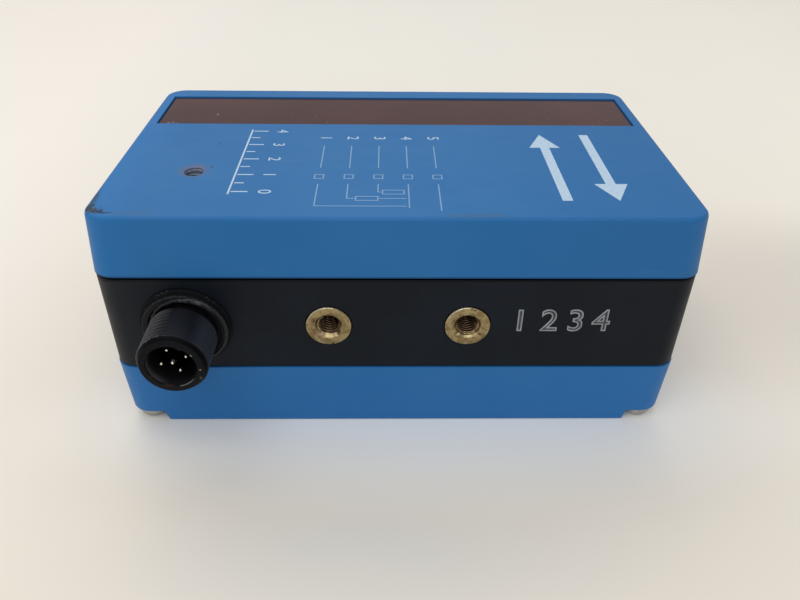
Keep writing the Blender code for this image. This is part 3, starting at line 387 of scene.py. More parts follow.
def brass_paint():
    """Turned brass with dull stains, a painted highlight on each flange's rim, painted glints low in each
    bore, and painted shade with dirt inside the bore, darkest in the roots of its thread.
    """
    paint = Paint("brass", (0.4, 0.32, 0.165), 0.3, metallic=1.0)
    paint.tint(paint.ramp(paint.noise(1.2 * MM, 3.0), 0.42, 0.66), (0.26, 0.185, 0.09))
    paint.tint(paint.ramp(paint.noise(0.8 * MM, 4.0, 0.7), 0.6, 0.7, 0.0, 0.75), (0.12, 0.08, 0.04))
    for centre in (LEFT, RIGHT):
        away = paint.distance(centre, ROUND_Y)
        ragged = paint.ramp(paint.noise(1.6 * MM, 3.0), 0.42, 0.6, 0.0, 0.7)
        paint.tint(paint.times(paint.ring(away, 2.6 * MM, 3.1 * MM), ragged), (0.2, 0.13, 0.06))
        # painted highlight on the flange's rim at its upper left
        lit = paint.blotch(centre + Vector(mm(-2.2, 0, 3.4)), mm(3.6, 1, 2.6))
        paint.tint(paint.times(paint.ring(away, 3.93 * MM, 4.2 * MM), lit), (0.66, 0.6, 0.45))
    add_marks(paint, BRASS_MARKS)
    # painted shade with dirt inside the bore, near black in the thread's roots
    inside = paint.along("Y", FACE_Y + 0.2 * MM, FACE_Y + 1.2 * MM)
    paint.tint(inside, (0.26, 0.17, 0.1))
    for centre in (LEFT, RIGHT):
        away = paint.distance(centre, ROUND_Y)
        roots = paint.times(inside, paint.ring(away, 1.85 * MM, 2.3 * MM))
        paint.tint(roots, (0.02, 0.012, 0.008))
    paint.rough(paint.ramp(paint.noise(0.6 * MM, 3.0), 0.3, 0.7), 0.24, 0.42)
    paint.bump(paint.noise(0.3 * MM, 3.0), 0.012 * MM, 0.6)
    return paint.material


def metal_paint(name, color, roughness, stain, size=0.6 * MM):
    """Plated metal with a duller stain."""
    paint = Paint(name, color, roughness, metallic=1.0)
    paint.tint(paint.ramp(paint.noise(size, 3.0), 0.5, 0.72, 0.0, 0.8), stain)
    paint.rough(paint.ramp(paint.noise(size, 3.0), 0.3, 0.7), roughness * 0.8, roughness * 1.3)
    paint.bump(paint.noise(size / 3, 3.0), 0.008 * MM, 0.5)
    return paint


def plain_paint(name, color, roughness, spread=1.35, size=2.0 * MM, relief=0.01 * MM):
    """Inner pieces: one colour with some cloudiness and grain."""
    paint = Paint(name, color, roughness)
    cloudy = tuple(min(1.0, value * spread) for value in color)
    paint.tint(paint.ramp(paint.noise(size, 3.0), 0.35, 0.75), cloudy)
    paint.rough(paint.noise(size / 2, 2.0), roughness * 0.85, min(1.0, roughness * 1.2))
    paint.bump(paint.noise(size / 10, 2.0), relief, 0.5)
    return paint.material


def rubber_paint(name, marks=()):
    """Dull black rubber."""
    return black_paint(name, (0.0048, 0.0054, 0.0068), (0.6, 0.8), 0.3 * MM, 0.4, 0.1, marks).material


def ink_paint(name, color):
    """Printed ink, thin in places."""
    paint = Paint(name, color, 0.5)
    paint.tint(paint.ramp(paint.noise(0.5 * MM, 3.0), 0.5, 0.75, 0.0, 0.4), (0.16, 0.3, 0.46))
    paint.bump(paint.noise(0.1 * MM, 2.0), 0.01 * MM, 0.5)
    return paint.material


# colours that marks share
DIRT = (0.03, 0.036, 0.022)
DARK_BLUE = (0.006, 0.02, 0.06)
SCUFF = (0.08, 0.1, 0.1)
WORN = (0.12, 0.14, 0.2)
WORN_BLUE = (0.13, 0.145, 0.24)
BRIGHT = (0.3, 0.28, 0.24)
PALE_DUST = (0.3, 0.28, 0.25)
PALE_SHEEN = (0.1, 0.105, 0.115)
NOTCH = (0.004, 0.004, 0.006)
PAINTED_SHADE = (0.0012, 0.0012, 0.0018)
RIDGE_HIGHLIGHT = (0.034, 0.037, 0.04)
TARNISH = (0.06, 0.04, 0.02)
GLEAM = (1.0, 0.8, 0.45)

# marks as add_marks takes them, and rounds as wear_lock does
TOP_MARKS = (
    (on_top(-51.5, 7.4), mm(0.6, 3.6, 0.9), (0.03, 0.055, 0.065), 0.75),
    (on_top(-51.3, 4.3), mm(0.8, 1.7, 0.8), DIRT, 0.95),
    (on_top(-50.5, 2.9), mm(1.2, 1.1, 0.8), (0.045, 0.043, 0.04), 0.85),
    (on_top(-49.6, 2.7), mm(0.9, 0.9, 0.6), (0.018, 0.02, 0.03), 0.95),
    (on_top(-48.7, 2.2), mm(1.8, 0.36, 0.5), DARK_BLUE, 0.95),
    (on_top(-44.0, 2.1), mm(4.5, 0.5, 0.4), SCUFF, 0.25),
    (on_top(13.0, 1.6), mm(7.0, 0.6, 0.5), SCUFF, 0.35),
    (on_top(-40.4, 32.6), mm(0.65, 0.25, 0.4), DARK_BLUE, 0.35),
    (on_top(-34.8, 30.9), mm(0.26, 0.3, 0.4), DARK_BLUE, 0.9),
    # painted shade at the right edge of the lock screw's dimple
    (on_top(-34.4, 20.2), mm(0.25, 0.7, 0.5), DARK_BLUE, 0.6),
)
LOCK_ROUNDS = (
    (LOCK_MIDDLE, ROUND_Z, 3.0 * MM, WORN, 0.4),
    (LOCK_MIDDLE + Vector(mm(0, 0.35, 0)), ROUND_Z, 1.95 * MM, WORN_BLUE, 0.7),
    (Vector((*LOCK_MIDDLE.xy, TOP_Z - 1.2 * MM)), (1, 1, 2.2), 2.2 * MM, (0.17, 0.18, 0.22), 0.9),
)
WINDOW_MARKS = (
    (on_top(-48.0, 42.4, PANE_DEPTH_MM), mm(0.3, 0.3, 1), PALE_DUST, 0.8),
    (on_top(-47.0, 42.6, PANE_DEPTH_MM), mm(0.35, 0.25, 1), PALE_DUST, 0.7),
    (on_top(-46.2, 42.4, PANE_DEPTH_MM), mm(0.25, 0.25, 1), PALE_DUST, 0.8),
    (on_top(-43.8, 42.4, PANE_DEPTH_MM), mm(2.4, 0.3, 1), (0.02, 0.006, 0.006), 0.8),
    (on_top(-38.5, 47.2, PANE_DEPTH_MM), mm(0.35, 0.4, 1), (0.35, 0.33, 0.3), 0.7),
)
PLUG_MARKS = (
    # painted highlight along the plug's shoulder at its upper left
    (on_plug(THREAD_RADIUS, 150, SHOULDER), mm(4.2, 0.4, 6.5), (0.09, 0.095, 0.105), 0.85),
    (on_plug(5.2 * MM, -27, TIP), mm(0.3, 0.5, 0.4), (0.09, 0.1, 0.05), 0.7),
    # painted glints on the tip's right
    (on_plug(4.8 * MM, -7, TIP), mm(0.2, 0.4, 0.2), BRIGHT, 0.8),
    (on_plug(4.35 * MM, 34, TIP), mm(0.3, 0.5, 0.3), BRIGHT, 0.7),
    (on_plug(4.2 * MM, -104, TIP), mm(1.2, 0.5, 0.2), (0.07, 0.035, 0.025), 0.5),
    (on_plug(4.2 * MM, -150, TIP), mm(0.35, 0.5, 0.25), (0.08, 0.025, 0.015), 0.5),
)
SOCKET_GLINT = (on_plug(4.3 * MM, -58, TIP), mm(2.1, 0.5, 1.3), 0.3)
RING_MARKS = (
    # painted sheen on the ring's upper right, with two dark dots in it
    (on_plug(6.9 * MM, 64, RING_MIDDLE), mm(3.2, 0.8, 2.2), (0.045, 0.049, 0.056), 0.8),
    (on_plug(6.9 * MM, 86, RING_MIDDLE), mm(0.5, 0.8, 0.4), PALE_SHEEN, 0.6),
    (on_plug(7.1 * MM, 63, RING_MIDDLE), mm(0.75, 0.8, 0.45), PALE_SHEEN, 0.6),
    (on_plug(7.0 * MM, 74, RING_MIDDLE), mm(0.3, 0.8, 0.3), NOTCH, 0.8),
    (on_plug(7.2 * MM, 54, RING_MIDDLE), mm(0.35, 0.8, 0.3), NOTCH, 0.7),
)
# painted highlights on ridges of the seal's lip at its two ends; the ridges are not modelled
SEAL_MARKS = tuple(
    (on_plug(radius * MM, degrees, SEAL_FRONT), mm(0.32, 0.5, 0.11), RIDGE_HIGHLIGHT, 0.85)
    for radius, degrees in ((7.62, 148), (7.64, 122), (7.95, 119), (7.7, 116), (8.05, 112),
                            (7.75, 109), (8.05, 105), (7.97, 55), (7.72, 51), (7.9, 44))
)
BRASS_MARKS = (
    (LEFT + Vector(mm(-2.6, -0.3, 1.3)), mm(0.3, 1, 0.5), (0.08, 0.05, 0.03), 0.8),
    (LEFT + Vector(mm(0.7, -0.3, -3.75)), mm(0.35, 1, 0.25), (0.03, 0.02, 0.015), 0.9),
    (RIGHT + Vector(mm(1.1, -0.3, 3.6)), mm(0.3, 1, 0.2), TARNISH, 0.8),
    (RIGHT + Vector(mm(2.4, -0.3, -1.7)), mm(0.35, 1, 0.25), TARNISH, 0.9),
    # painted glints low in the left bore
    (LEFT + Vector(mm(-1.6, 0.1, -1.9)), mm(0.9, 1, 0.5), (0.5, 0.32, 0.22), 0.45),
    (LEFT + Vector(mm(-1.3, 0.1, -1.8)), mm(0.4, 1, 0.25), (0.9, 0.6, 0.36), 0.6),
    (LEFT + Vector(mm(1.35, 0.1, -2.0)), mm(0.5, 1, 0.35), GLEAM, 0.85),
    (LEFT + Vector(mm(-3.2, 0, 0.6)), mm(0.4, 1, 1.3), (0.3, 0.19, 0.12), 0.6),
    # painted glints low in the right bore
    (RIGHT + Vector(mm(-1.45, 0.1, -1.85)), mm(0.5, 1, 0.3), GLEAM, 0.7),
    (RIGHT + Vector(mm(1.4, 0.1, -1.8)), mm(0.45, 1, 0.3), (1.0, 0.76, 0.38), 0.75),
    (RIGHT + Vector(mm(3.1, 0, 0.4)), mm(0.5, 1, 1.4), (0.32, 0.21, 0.11), 0.6),
)

BLUE_TOP = cover_paint()
BLUE_BASE = base_paint()
BAND = band_paint()
# the sides give the plug's flanks painted light
PLUG = plug_paint("plug", (0.0045, 0.0055, 0.0078), 0.3,
                  ((-1.0, -3.2, (0.054, 0.0555, 0.061)), (3.0, 5.2, (0.024, 0.03, 0.042))))
PLUG_TIP = plug_paint("plug_tip", (0.006, 0.0068, 0.0085), 0.06)
PLUG_COLLAR = plug_paint("plug_collar", (0.0062, 0.0072, 0.0092), 0.16)
RING = black_paint("plug_ring", (0.012, 0.0132, 0.016), (0.4, 0.6), 0.15 * MM, 0.8, 0.3, RING_MARKS).material
INSULATOR = black_paint("socket_insulator", (0.003, 0.003, 0.004), (0.5, 0.65), 0.3 * MM, 0.1).material
RUBBER = rubber_paint("rubber")
RUBBER_WITH_HIGHLIGHTS = rubber_paint("rubber_with_highlights", SEAL_MARKS)
WINDOW = window_paint()
BRASS = brass_paint()
STEEL = metal_paint("zinc_steel", (0.5, 0.48, 0.45), 0.42, (0.3, 0.28, 0.25)).material
DARK_STEEL = metal_paint("worn_steel", (0.36, 0.4, 0.46), 0.35, (0.13, 0.14, 0.18)).material
GILT = gilt_paint()
CAN = metal_paint("aluminium_can", (0.7, 0.7, 0.72), 0.35, (0.5, 0.5, 0.52), 1.0 * MM).material
LAMINATE = plain_paint("board_laminate", (0.015, 0.11, 0.05), 0.4)
CASE = plain_paint("component_case", (0.03, 0.03, 0.032), 0.55)
FERRITE = plain_paint("ferrite", (0.06, 0.06, 0.065), 0.7)
CARRIER = plain_paint("carrier_black", (0.016, 0.016, 0.018), 0.6)
RIBBON = plain_paint("ribbon_film", (0.42, 0.19, 0.03), 0.3)
LENS = plain_paint("clear_lens", (0.7, 0.72, 0.74), 0.08, 1.1, relief=0.0)
FILM = plain_paint("polarizer_film", (0.1, 0.1, 0.11), 0.15)
INK = ink_paint("white_ink", (0.46, 0.62, 0.78))
FAINT_INK = ink_paint("faint_ink", (0.2, 0.36, 0.58))
STAMP = plain_paint("stamped_edges", (0.26, 0.28, 0.3), 0.5)
STAMP_FACE = plain_paint("stamped_faces", (0.035, 0.04, 0.047), 0.5)

NODE_PAINTS = {
    "upper_cover": BLUE_TOP,
    "lower_cover": BLUE_BASE,
    "middle_frame": BAND,
    "window_pane": WINDOW,
    "window_seal": RUBBER,
    "upper_seal": RUBBER,
    "lower_seal": RUBBER,
    "connector_clip": STEEL,
    "pin_carrier": INSULATOR,
    "connector_board": LAMINATE,
    "main_board": LAMINATE,
    "ribbon_cable": RIBBON,
    "cable_socket": CASE,
    "controller_chip": CASE,
    "output_driver": CASE,
    "receiver_diode": CASE,
    "supply_choke": FERRITE,
    "filter_capacitor_1": CAN,
    "filter_capacitor_2": CAN,
    "optics_carrier": CARRIER,
    "emitter_lens": LENS,
    "receiver_lens": LENS,
    "emitter_led": LENS,
    "emitter_polarizer": FILM,
    "receiver_polarizer": FILM,
}


def smoothing_group(degrees):
    """A node group that shades smooth, but keeps edges sharper than the angle hard."""
    tree = bpy.data.node_groups.new("smooth_by_angle", "GeometryNodeTree")
    tree.interface.new_socket("Geometry", in_out="INPUT", socket_type="NodeSocketGeometry")
    tree.interface.new_socket("Geometry", in_out="OUTPUT", socket_type="NodeSocketGeometry")
    start, end = tree.nodes.new("NodeGroupInput"), tree.nodes.new("NodeGroupOutput")
    faces, edges = (tree.nodes.new("GeometryNodeSetShadeSmooth") for _ in range(2))
    edges.domain = "EDGE"
    angle = tree.nodes.new("GeometryNodeInputMeshEdgeAngle")
    soft = tree.nodes.new("FunctionNodeCompare")
    soft.operation = "LESS_THAN"
    soft.inputs[1].default_value = math.radians(degrees)
    tree.links.new(start.outputs[0], faces.inputs["Geometry"])
    tree.links.new(faces.outputs[0], edges.inputs["Geometry"])
    tree.links.new(angle.outputs["Unsigned Angle"], soft.inputs[0])
    tree.links.new(soft.outputs["Result"], edges.inputs["Shade Smooth"])
    tree.links.new(edges.outputs[0], end.inputs[0])
    return tree


SMOOTHING = smoothing_group(SHARP_ANGLE)


def soften(piece, width):
    """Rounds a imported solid's hard edges a little and shades its round forms smooth."""
    weld = piece.modifiers.new("weld", "WELD")
    weld.merge_threshold = 0.002 * MM
    flat = piece.modifiers.new("flat", "DECIMATE")
    flat.decimate_type = "DISSOLVE"
    flat.angle_limit = math.radians(0.6)
    bevel = piece.modifiers.new("edge", "BEVEL")
    bevel.width = width
    bevel.segments = 2
    bevel.limit_method = "ANGLE"
    bevel.angle_limit = math.radians(40)
    bevel.use_clamp_overlap = True
    smooth = piece.modifiers.new("smooth", "NODES")
    smooth.node_group = SMOOTHING
    even = piece.modifiers.new("even", "WEIGHTED_NORMAL")
    even.keep_sharp = True
    even.weight = 100


def dress_nodes():
    """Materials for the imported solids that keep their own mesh, and softer edges on the housing."""
    for name, material in NODE_PAINTS.items():
        piece = nodes[name]
        piece.data.materials.clear()
        piece.data.materials.append(material)
    for name in ("upper_cover", "lower_cover", "middle_frame"):
        soften(nodes[name], 0.07 * MM)
    soften(nodes["window_pane"], 0.05 * MM)


def placed(name, data):
    """A new object in the scene."""
    made = bpy.data.objects.new(name, data)
    bpy.context.scene.collection.objects.link(made)
    return made


def solid_data(name, mesh):
    """Turns a closed bmesh into mesh data, with its faces outwards."""
    mesh.normal_update()
    bmesh.ops.recalc_face_normals(mesh, faces=mesh.faces)
    data = bpy.data.meshes.new(name)
    mesh.to_mesh(data)
    mesh.free()
    return data


def shade(data, angle):
    """Shades a mesh smooth, but keeps edges sharper than the angle hard."""
    data.shade_smooth()
    data.set_sharp_from_angle(angle=math.radians(angle))


def piece_from(name, mesh, material, slot, *stands_for, angle=SHARP_ANGLE):
    """A finished bmesh becomes a piece of the object."""
    data = solid_data(name, mesh)
    shade(data, angle)
    data.materials.append(material)
    made = placed(name, data)
    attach(made, "root")
    if stands_for:
        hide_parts(*stands_for)
    return made


def spun(mesh, centre, profile, steps, axis="y", closed=False, radius_at=None):
    """Rings of points about an axis, one for each (radius, place along the axis) of the profile.

    A profile on the plug face's axis runs outwards, so its place is measured along -Y.
    radius_at(index, radius, along, angle) may change the radius of single points.
    """
    rings = []
    for index, (radius, along) in enumerate(profile):
        if radius <= 0:
            rings.append([mesh.verts.new(centre + offset(axis, 0, 0, along))])
            continue
        ring = []
        for step in range(steps):
            angle = TURN * step / steps
            length = radius_at(index, radius, along, angle) if radius_at else radius
            ring.append(mesh.verts.new(centre + offset(axis, length, angle, along)))
        rings.append(ring)
    pairs = list(zip(rings, rings[1:]))
    if closed:
        pairs.append((rings[-1], rings[0]))
    for near, far in pairs:
        join_rings(mesh, near, far)


def offset(axis, radius, angle, along):
    """A point's place from the centre of its ring's axis."""
    across, up = radius * math.cos(angle), radius * math.sin(angle)
    return Vector((across, -along, up)) if axis == "y" else Vector((across, up, along))


def join_rings(mesh, near, far):
    """Faces between two rings, one of which may be a single point."""
    count = max(len(near), len(far))
    for step in range(count):
        after = (step + 1) % count
        if len(near) == 1:
            mesh.faces.new((near[0], far[step], far[after]))
        elif len(far) == 1:
            mesh.faces.new((near[step], near[after], far[0]))
        else:
            mesh.faces.new((near[step], near[after], far[after], far[step]))


def wave(along, angle, pitch):
    """Thread profile: 1 on the crest and 0 in the root, both with a small flat."""
    share = (along / pitch - angle / TURN) % 1.0
    return min(1.0, max(0.0, (abs(share - 0.5) * 2 - THREAD_FLAT) / (1 - 2 * THREAD_FLAT)))


def span(start, end, count):
    """Evenly spaced values from start to end, both included."""
    return [start + (end - start) * step / count for step in range(count + 1)]


def plug():
    """Round plug: thread on its two sides, long chamfer at the tip, grooved collar with a rough ridge."""
    rnd = random.Random(4)
    steps = 144
    rough = [rnd.uniform(-0.09, 0.07) * MM for _ in range(steps)]
    thread, collar, hollow = THREAD_RADIUS, COLLAR_RADIUS, SOCKET_RADIUS
    thread_end, neck, groove = 2.8 * MM, 5.5 * MM, 6.42 * MM
    clip_groove, clip_front, clip_back, tail = thread - 0.6 * MM, -8.8 * MM, -10.0 * MM, -10.9 * MM
    carrier, carrier_front = 4.9 * MM, -1.5 * MM
    profile = [(hollow + 0.1 * MM, TIP), (5.2 * MM, TIP), (5.34 * MM, TIP - 0.06 * MM),
               (5.42 * MM, TIP - 0.2 * MM), (thread - 0.06 * MM, SHOULDER + 0.1 * MM), (thread, SHOULDER)]
    first_thread = len(profile)
    profile += [(thread, along) for along in span(SHOULDER - 0.1 * MM, thread_end, 84)]
    last_thread = len(profile)
    profile += [(neck + 0.05 * MM, thread_end - 0.1 * MM), (neck, thread_end - 0.25 * MM),
                (neck, COLLAR_FRONT - 0.4 * MM), (groove - 0.1 * MM, COLLAR_FRONT - 0.4 * MM),
                (groove, COLLAR_FRONT - 0.3 * MM), (groove, COLLAR_FRONT - 0.15 * MM)]
    ridge = len(profile)
    profile += [(groove + 0.12 * MM, COLLAR_FRONT - 0.02 * MM), (groove + 0.3 * MM, COLLAR_FRONT - 0.08 * MM),
                (collar - 0.4 * MM, COLLAR_FRONT), (collar - 0.15 * MM, COLLAR_FRONT - 0.05 * MM)]
    ridge_end = len(profile)
    profile += [(collar, COLLAR_FRONT - 0.15 * MM), (collar, COLLAR_BACK + 0.1 * MM),
                (collar - 0.1 * MM, COLLAR_BACK), (thread, COLLAR_BACK), (thread, clip_front + 0.1 * MM),
                (clip_groove, clip_front), (clip_groove, clip_back), (thread, clip_back),
                (thread, tail + 0.1 * MM), (carrier, tail), (carrier, carrier_front),
                (hollow, carrier_front), (hollow, TIP - 0.3 * MM), (hollow + 0.03 * MM, TIP - 0.1 * MM)]

    def radius_at(index, radius, along, angle):
        if first_thread <= index < last_thread:
            ends = min(1.0, (SHOULDER - along) / (0.5 * MM), (along - thread_end) / (0.4 * MM))
            facing = math.cos(angle - THREAD_SIDE)
            start, deep = LEFT_THREAD if facing > 0 else RIGHT_THREAD
            sides = min(1.0, max(0.0, (abs(facing) - start) / 0.1))
            depth = (1 - wave(along, angle, PLUG_PITCH)) * deep * sides
            return radius - depth * max(0.0, ends) - 0.06 * MM * (1 - sides)
        if ridge <= index < ridge_end:
            return radius + rough[round(angle / TURN * steps) % steps]
        return radius

    mesh = bmesh.new()
    spun(mesh, face_point("connector_body"), profile, steps, closed=True, radius_at=radius_at)
    tip_slot, collar_slot = 1, 2
    for face in mesh.faces:
        along = FACE_Y - face.calc_center_median().y
        if along > SHOULDER + 0.15 * MM:
            face.material_index = tip_slot
        elif along < COLLAR_FRONT + 0.05 * MM:
            face.material_index = collar_slot
    shell = piece_from("plug_shell", mesh, PLUG, "black_plug", "connector_body", angle=TURNED_ANGLE)
    shell.data.materials.append(PLUG_TIP)
    shell.data.materials.append(PLUG_COLLAR)


def plug_ring():
    """Thin rough ring that sits off centre on the plug's neck and is thicker at its upper right."""
    rnd = random.Random(9)
    steps = 120
    rough = [rnd.uniform(-0.1, 0.08) * MM for _ in range(steps)]
    centre = face_point("connector_body") + Vector(mm(0.95, 0, 0.35))
    thick_side = 0.7
    inner, outer, soft = 6.42 * MM, 6.86 * MM, 0.12 * MM
    near, far = COLLAR_FRONT + 0.1 * MM, COLLAR_FRONT + 0.45 * MM
    profile = [(inner, far - soft), (inner + soft, far), (outer - soft, far), (outer, far - soft),
               (outer, near), (inner, near)]

    def radius_at(index, radius, along, angle):
        wide = 0.5 * MM * max(0.0, math.cos(angle - thick_side)) if radius < inner + 0.2 * MM else 0.0
        return radius - wide + rough[round(angle / TURN * steps) % steps]

    mesh = bmesh.new()
    spun(mesh, centre, profile, steps, closed=True, radius_at=radius_at)
    piece_from("plug_ring", mesh, RING, "black_plug", angle=TURNED_ANGLE)


def plug_key():
    """Key on the socket's wall."""
    radius, front, back = 0.8 * MM, TIP - 0.5 * MM, TIP - 8.1 * MM
    profile = [(0, front), (radius - 0.15 * MM, front), (radius, front - 0.15 * MM),
               (radius, back), (0, back)]
    mesh = bmesh.new()
    spun(mesh, on_plug(SOCKET_RADIUS, 65, 0), profile, 24)
    piece_from("plug_key", mesh, PLUG_TIP, "black_plug")


def plug_seal():
    """Rubber ring between the collar and the wall, with a wider lip at the wall."""
    inner, lip, front, back = 6.3 * MM, 8.1 * MM, COLLAR_BACK - 0.06 * MM, 0.1 * MM
    profile = [(inner, front), (COLLAR_RADIUS - 0.25 * MM, front),
               (COLLAR_RADIUS, 0.68 * MM), (COLLAR_RADIUS, 0.5 * MM),
               (lip - 0.15 * MM, 0.45 * MM), (lip, 0.34 * MM), (lip, back), (inner, back)]
    mesh = bmesh.new()
    spun(mesh, face_point("connector_body"), profile, 96, closed=True)
    piece_from("plug_seal", mesh, RUBBER_WITH_HIGHLIGHTS, "seal_rubber", "connector_seal")


def pins():
    """Contact pins with a tapered nose, of which only the small end glints."""
    for index in range(1, 6):
        node = f"contact_pin_{index}"
        low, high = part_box(node)
        tip, tail = FACE_Y - low.y, FACE_Y - high.y
        radius = 0.5 * MM
        profile = [(0, tip), (radius * 0.3, tip - 0.03 * MM), (radius * 0.5, tip - 0.12 * MM),
                   (radius * 0.85, tip - 0.8 * MM), (radius, tip - 1.2 * MM), (radius, tail), (0, tail)]
        mesh = bmesh.new()
        spun(mesh, face_point(node), profile, 24)
        piece_from(f"pin_{index}", mesh, GILT, "contact_gilt", node, angle=60.0)


def inserts():
    """Flanged brass bushes with a real thread inside."""
    bore, crest, depth = 2.2 * MM, 0.42 * MM, -8.2 * MM
    flange, barrel, mouth = 4.12 * MM, 2.9 * MM, 2.64 * MM
    thread_starts = (4, 1)
    for name, start in zip(INSERTS, thread_starts):
        low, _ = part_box(name)
        top = FACE_Y - low.y
        under = top - 0.8 * MM
        profile = [(mouth - 0.06 * MM, top - 0.02 * MM), (mouth, top), (flange - 0.22 * MM, top),
                   (flange - 0.08 * MM, top - 0.05 * MM), (flange, top - 0.16 * MM), (flange, under),
                   (barrel, under), (barrel, depth + 0.2 * MM), (barrel - 0.2 * MM, depth), (bore, depth)]
        first_thread = len(profile)
        profile += [(bore, along) for along in span(depth + 0.1 * MM, top - 0.5 * MM, 110)]
        last_thread = len(profile)
        profile += [(bore + 0.03 * MM, top - 0.42 * MM), (mouth - 0.12 * MM, top - 0.06 * MM)]

        def radius_at(index, radius, along, angle):
            if first_thread <= index < last_thread:
                ends = min(1.0, (top - 0.45 * MM - along) / (0.4 * MM), (along - depth) / (0.3 * MM))
                return radius - wave(along, angle + start, INSERT_PITCH) * crest * max(0.0, ends)
            return radius

        mesh = bmesh.new()
        spun(mesh, face_point(name), profile, 64, closed=True, radius_at=radius_at)
        piece_from(f"{name}_bush", mesh, BRASS, "brass", name, angle=TURNED_ANGLE)


def corner_screws():
    """Low heads with a hexagon socket."""
    socket_radius, socket_depth = 1.25 * MM, 1.1 * MM
    for index in range(1, 5):
        node = f"corner_screw_{index}"
        low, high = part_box(node)
        centre = foot(node)
        head, shank, top = (high.x - low.x) / 2, 1.5 * MM, 2.1 * MM
        profile = [(0, low.z), (head * 0.62, low.z), (head * 0.8, low.z + 0.06 * MM),
                   (head * 0.93, low.z + 0.25 * MM), (head, low.z + 0.55 * MM), (head, top - 0.1 * MM),
                   (head - 0.1 * MM, top), (shank, top), (shank, high.z - 0.9 * MM),
                   (shank - 0.6 * MM, high.z), (0, high.z)]
        mesh = bmesh.new()
        spun(mesh, centre, profile, 40, axis="z")
        screw = piece_from(f"housing_screw_{index}", mesh, STEEL, "fastener_steel", node)
        cut_away(screw, hexagon(centre, socket_radius, low.z - 1.0 * MM, low.z + socket_depth))


def hexagon(centre, radius, low, high):
    """An upright hexagonal bar, given by the radius at its corners."""
    mesh = bmesh.new()
    spun(mesh, centre, [(0, low), (radius, low), (radius, high), (0, high)], 6, axis="z")
    return mesh


def cut_away(piece, mesh):
    """Cuts a closed bmesh out of a piece for good."""
    cutter = placed("cutter", solid_data("cutter", mesh))
    step = piece.modifiers.new("cut", "BOOLEAN")
    step.operation, step.solver, step.object = "DIFFERENCE", "EXACT", cutter
    bpy.context.view_layer.update()
    done = bpy.data.meshes.new_from_object(piece.evaluated_get(bpy.context.evaluated_depsgraph_get()))
    piece.modifiers.remove(step)
    old = piece.data
    piece.data = done
    done.name = old.name
    bpy.data.meshes.remove(old)
    bpy.data.objects.remove(cutter)
    shade(done, SHARP_ANGLE)


def box_mesh(centre, size, turn):
    """A block turned about its upright axis."""
    mesh = bmesh.new()
    bmesh.ops.create_cube(mesh, size=1.0)
    bmesh.ops.scale(mesh, vec=size, verts=mesh.verts)
    bmesh.ops.rotate(mesh, cent=(0, 0, 0), matrix=Matrix.Rotation(turn, 3, "Z"), verts=mesh.verts)
    bmesh.ops.translate(mesh, vec=centre, verts=mesh.verts)
    return mesh


def lock_screw():
    """Slotted screw that sits deep in the upper cover."""
    low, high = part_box("lock_screw")
    centre = foot("lock_screw")
    radius, top = 1.5 * MM, high.z
    profile = [(0, top), (radius * 0.84, top), (radius * 0.95, top - 0.07 * MM), (radius, top - 0.25 * MM),
               (radius, low.z + 0.9 * MM), (radius / 2, low.z), (0, low.z)]
    mesh = bmesh.new()
    spun(mesh, centre, profile, 64, axis="z")
    screw = piece_from("lock_screw_body", mesh, DARK_STEEL, "fastener_steel", "lock_screw")
    slot, turn = mm(8.0, 0.8, 1.6), math.radians(10)
    cut_away(screw, box_mesh(centre + Vector((0, 0, top)), slot, turn))


def board_screws():
    """Cross-slotted screws on the main board."""
    slot = mm(2.2, 0.4, 1.0)
    for index in range(1, 5):
        node = f"board_screw_{index}"
        low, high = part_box(node)
        centre = foot(node)
        head, shank, seat = 1.8 * MM, 0.9 * MM, high.z - 1.3 * MM
        profile = [(0, high.z), (1.0 * MM, high.z), (1.5 * MM, high.z - 0.25 * MM),
                   (head, seat + 0.3 * MM), (head, seat), (shank, seat),
                   (shank, low.z + 0.8 * MM), (0, low.z)]
        mesh = bmesh.new()
        spun(mesh, centre, profile, 32, axis="z")
        screw = piece_from(f"board_fixing_{index}", mesh, STEEL, "fastener_steel", node)
        for turn in (0.0, math.pi / 2):
            cut_away(screw, box_mesh(centre + Vector((0, 0, high.z)), slot, turn))


def flat_strokes(name, strokes, width, material, slot):
    """Flat printed lines on the top face: each stroke is a list of (x, y) points, mitred at its corners."""
    mesh = bmesh.new()
    for stroke in strokes:
        points = [Vector((*point, PRINT_Z)) for point in stroke]
        loop = stroke[0] == stroke[-1]
        if loop:
            points.pop()
        rows = []
        for index, point in enumerate(points):
            last = not loop and index == len(points) - 1
            before = points[index - 1] if loop or index else point * 2 - points[index + 1]
            after = point * 2 - before if last else points[(index + 1) % len(points)]
            ways = [(point - before).normalized(), (after - point).normalized()]
            side = sum((Vector((-way.y, way.x, 0)) for way in ways), Vector()).normalized()
            side *= width / 2 / side.dot(Vector((-ways[0].y, ways[0].x, 0)))
            rows.append((mesh.verts.new(point - side), mesh.verts.new(point + side)))
        pairs = list(zip(rows, rows[1:])) + ([(rows[-1], rows[0])] if loop else [])
        for near, far in pairs:
            mesh.faces.new((near[0], far[0], far[1], near[1]))
    thicken(mesh)
    piece_from(name, mesh, material, slot)


def thicken(mesh):
    """Gives flat print a little thickness, so that it is a closed solid."""
    pushed = bmesh.ops.extrude_face_region(mesh, geom=mesh.faces[:])
    raised = [item for item in pushed["geom"] if isinstance(item, bmesh.types.BMVert)]
    bmesh.ops.translate(mesh, verts=raised, vec=(0, 0, INK_THICKNESS))


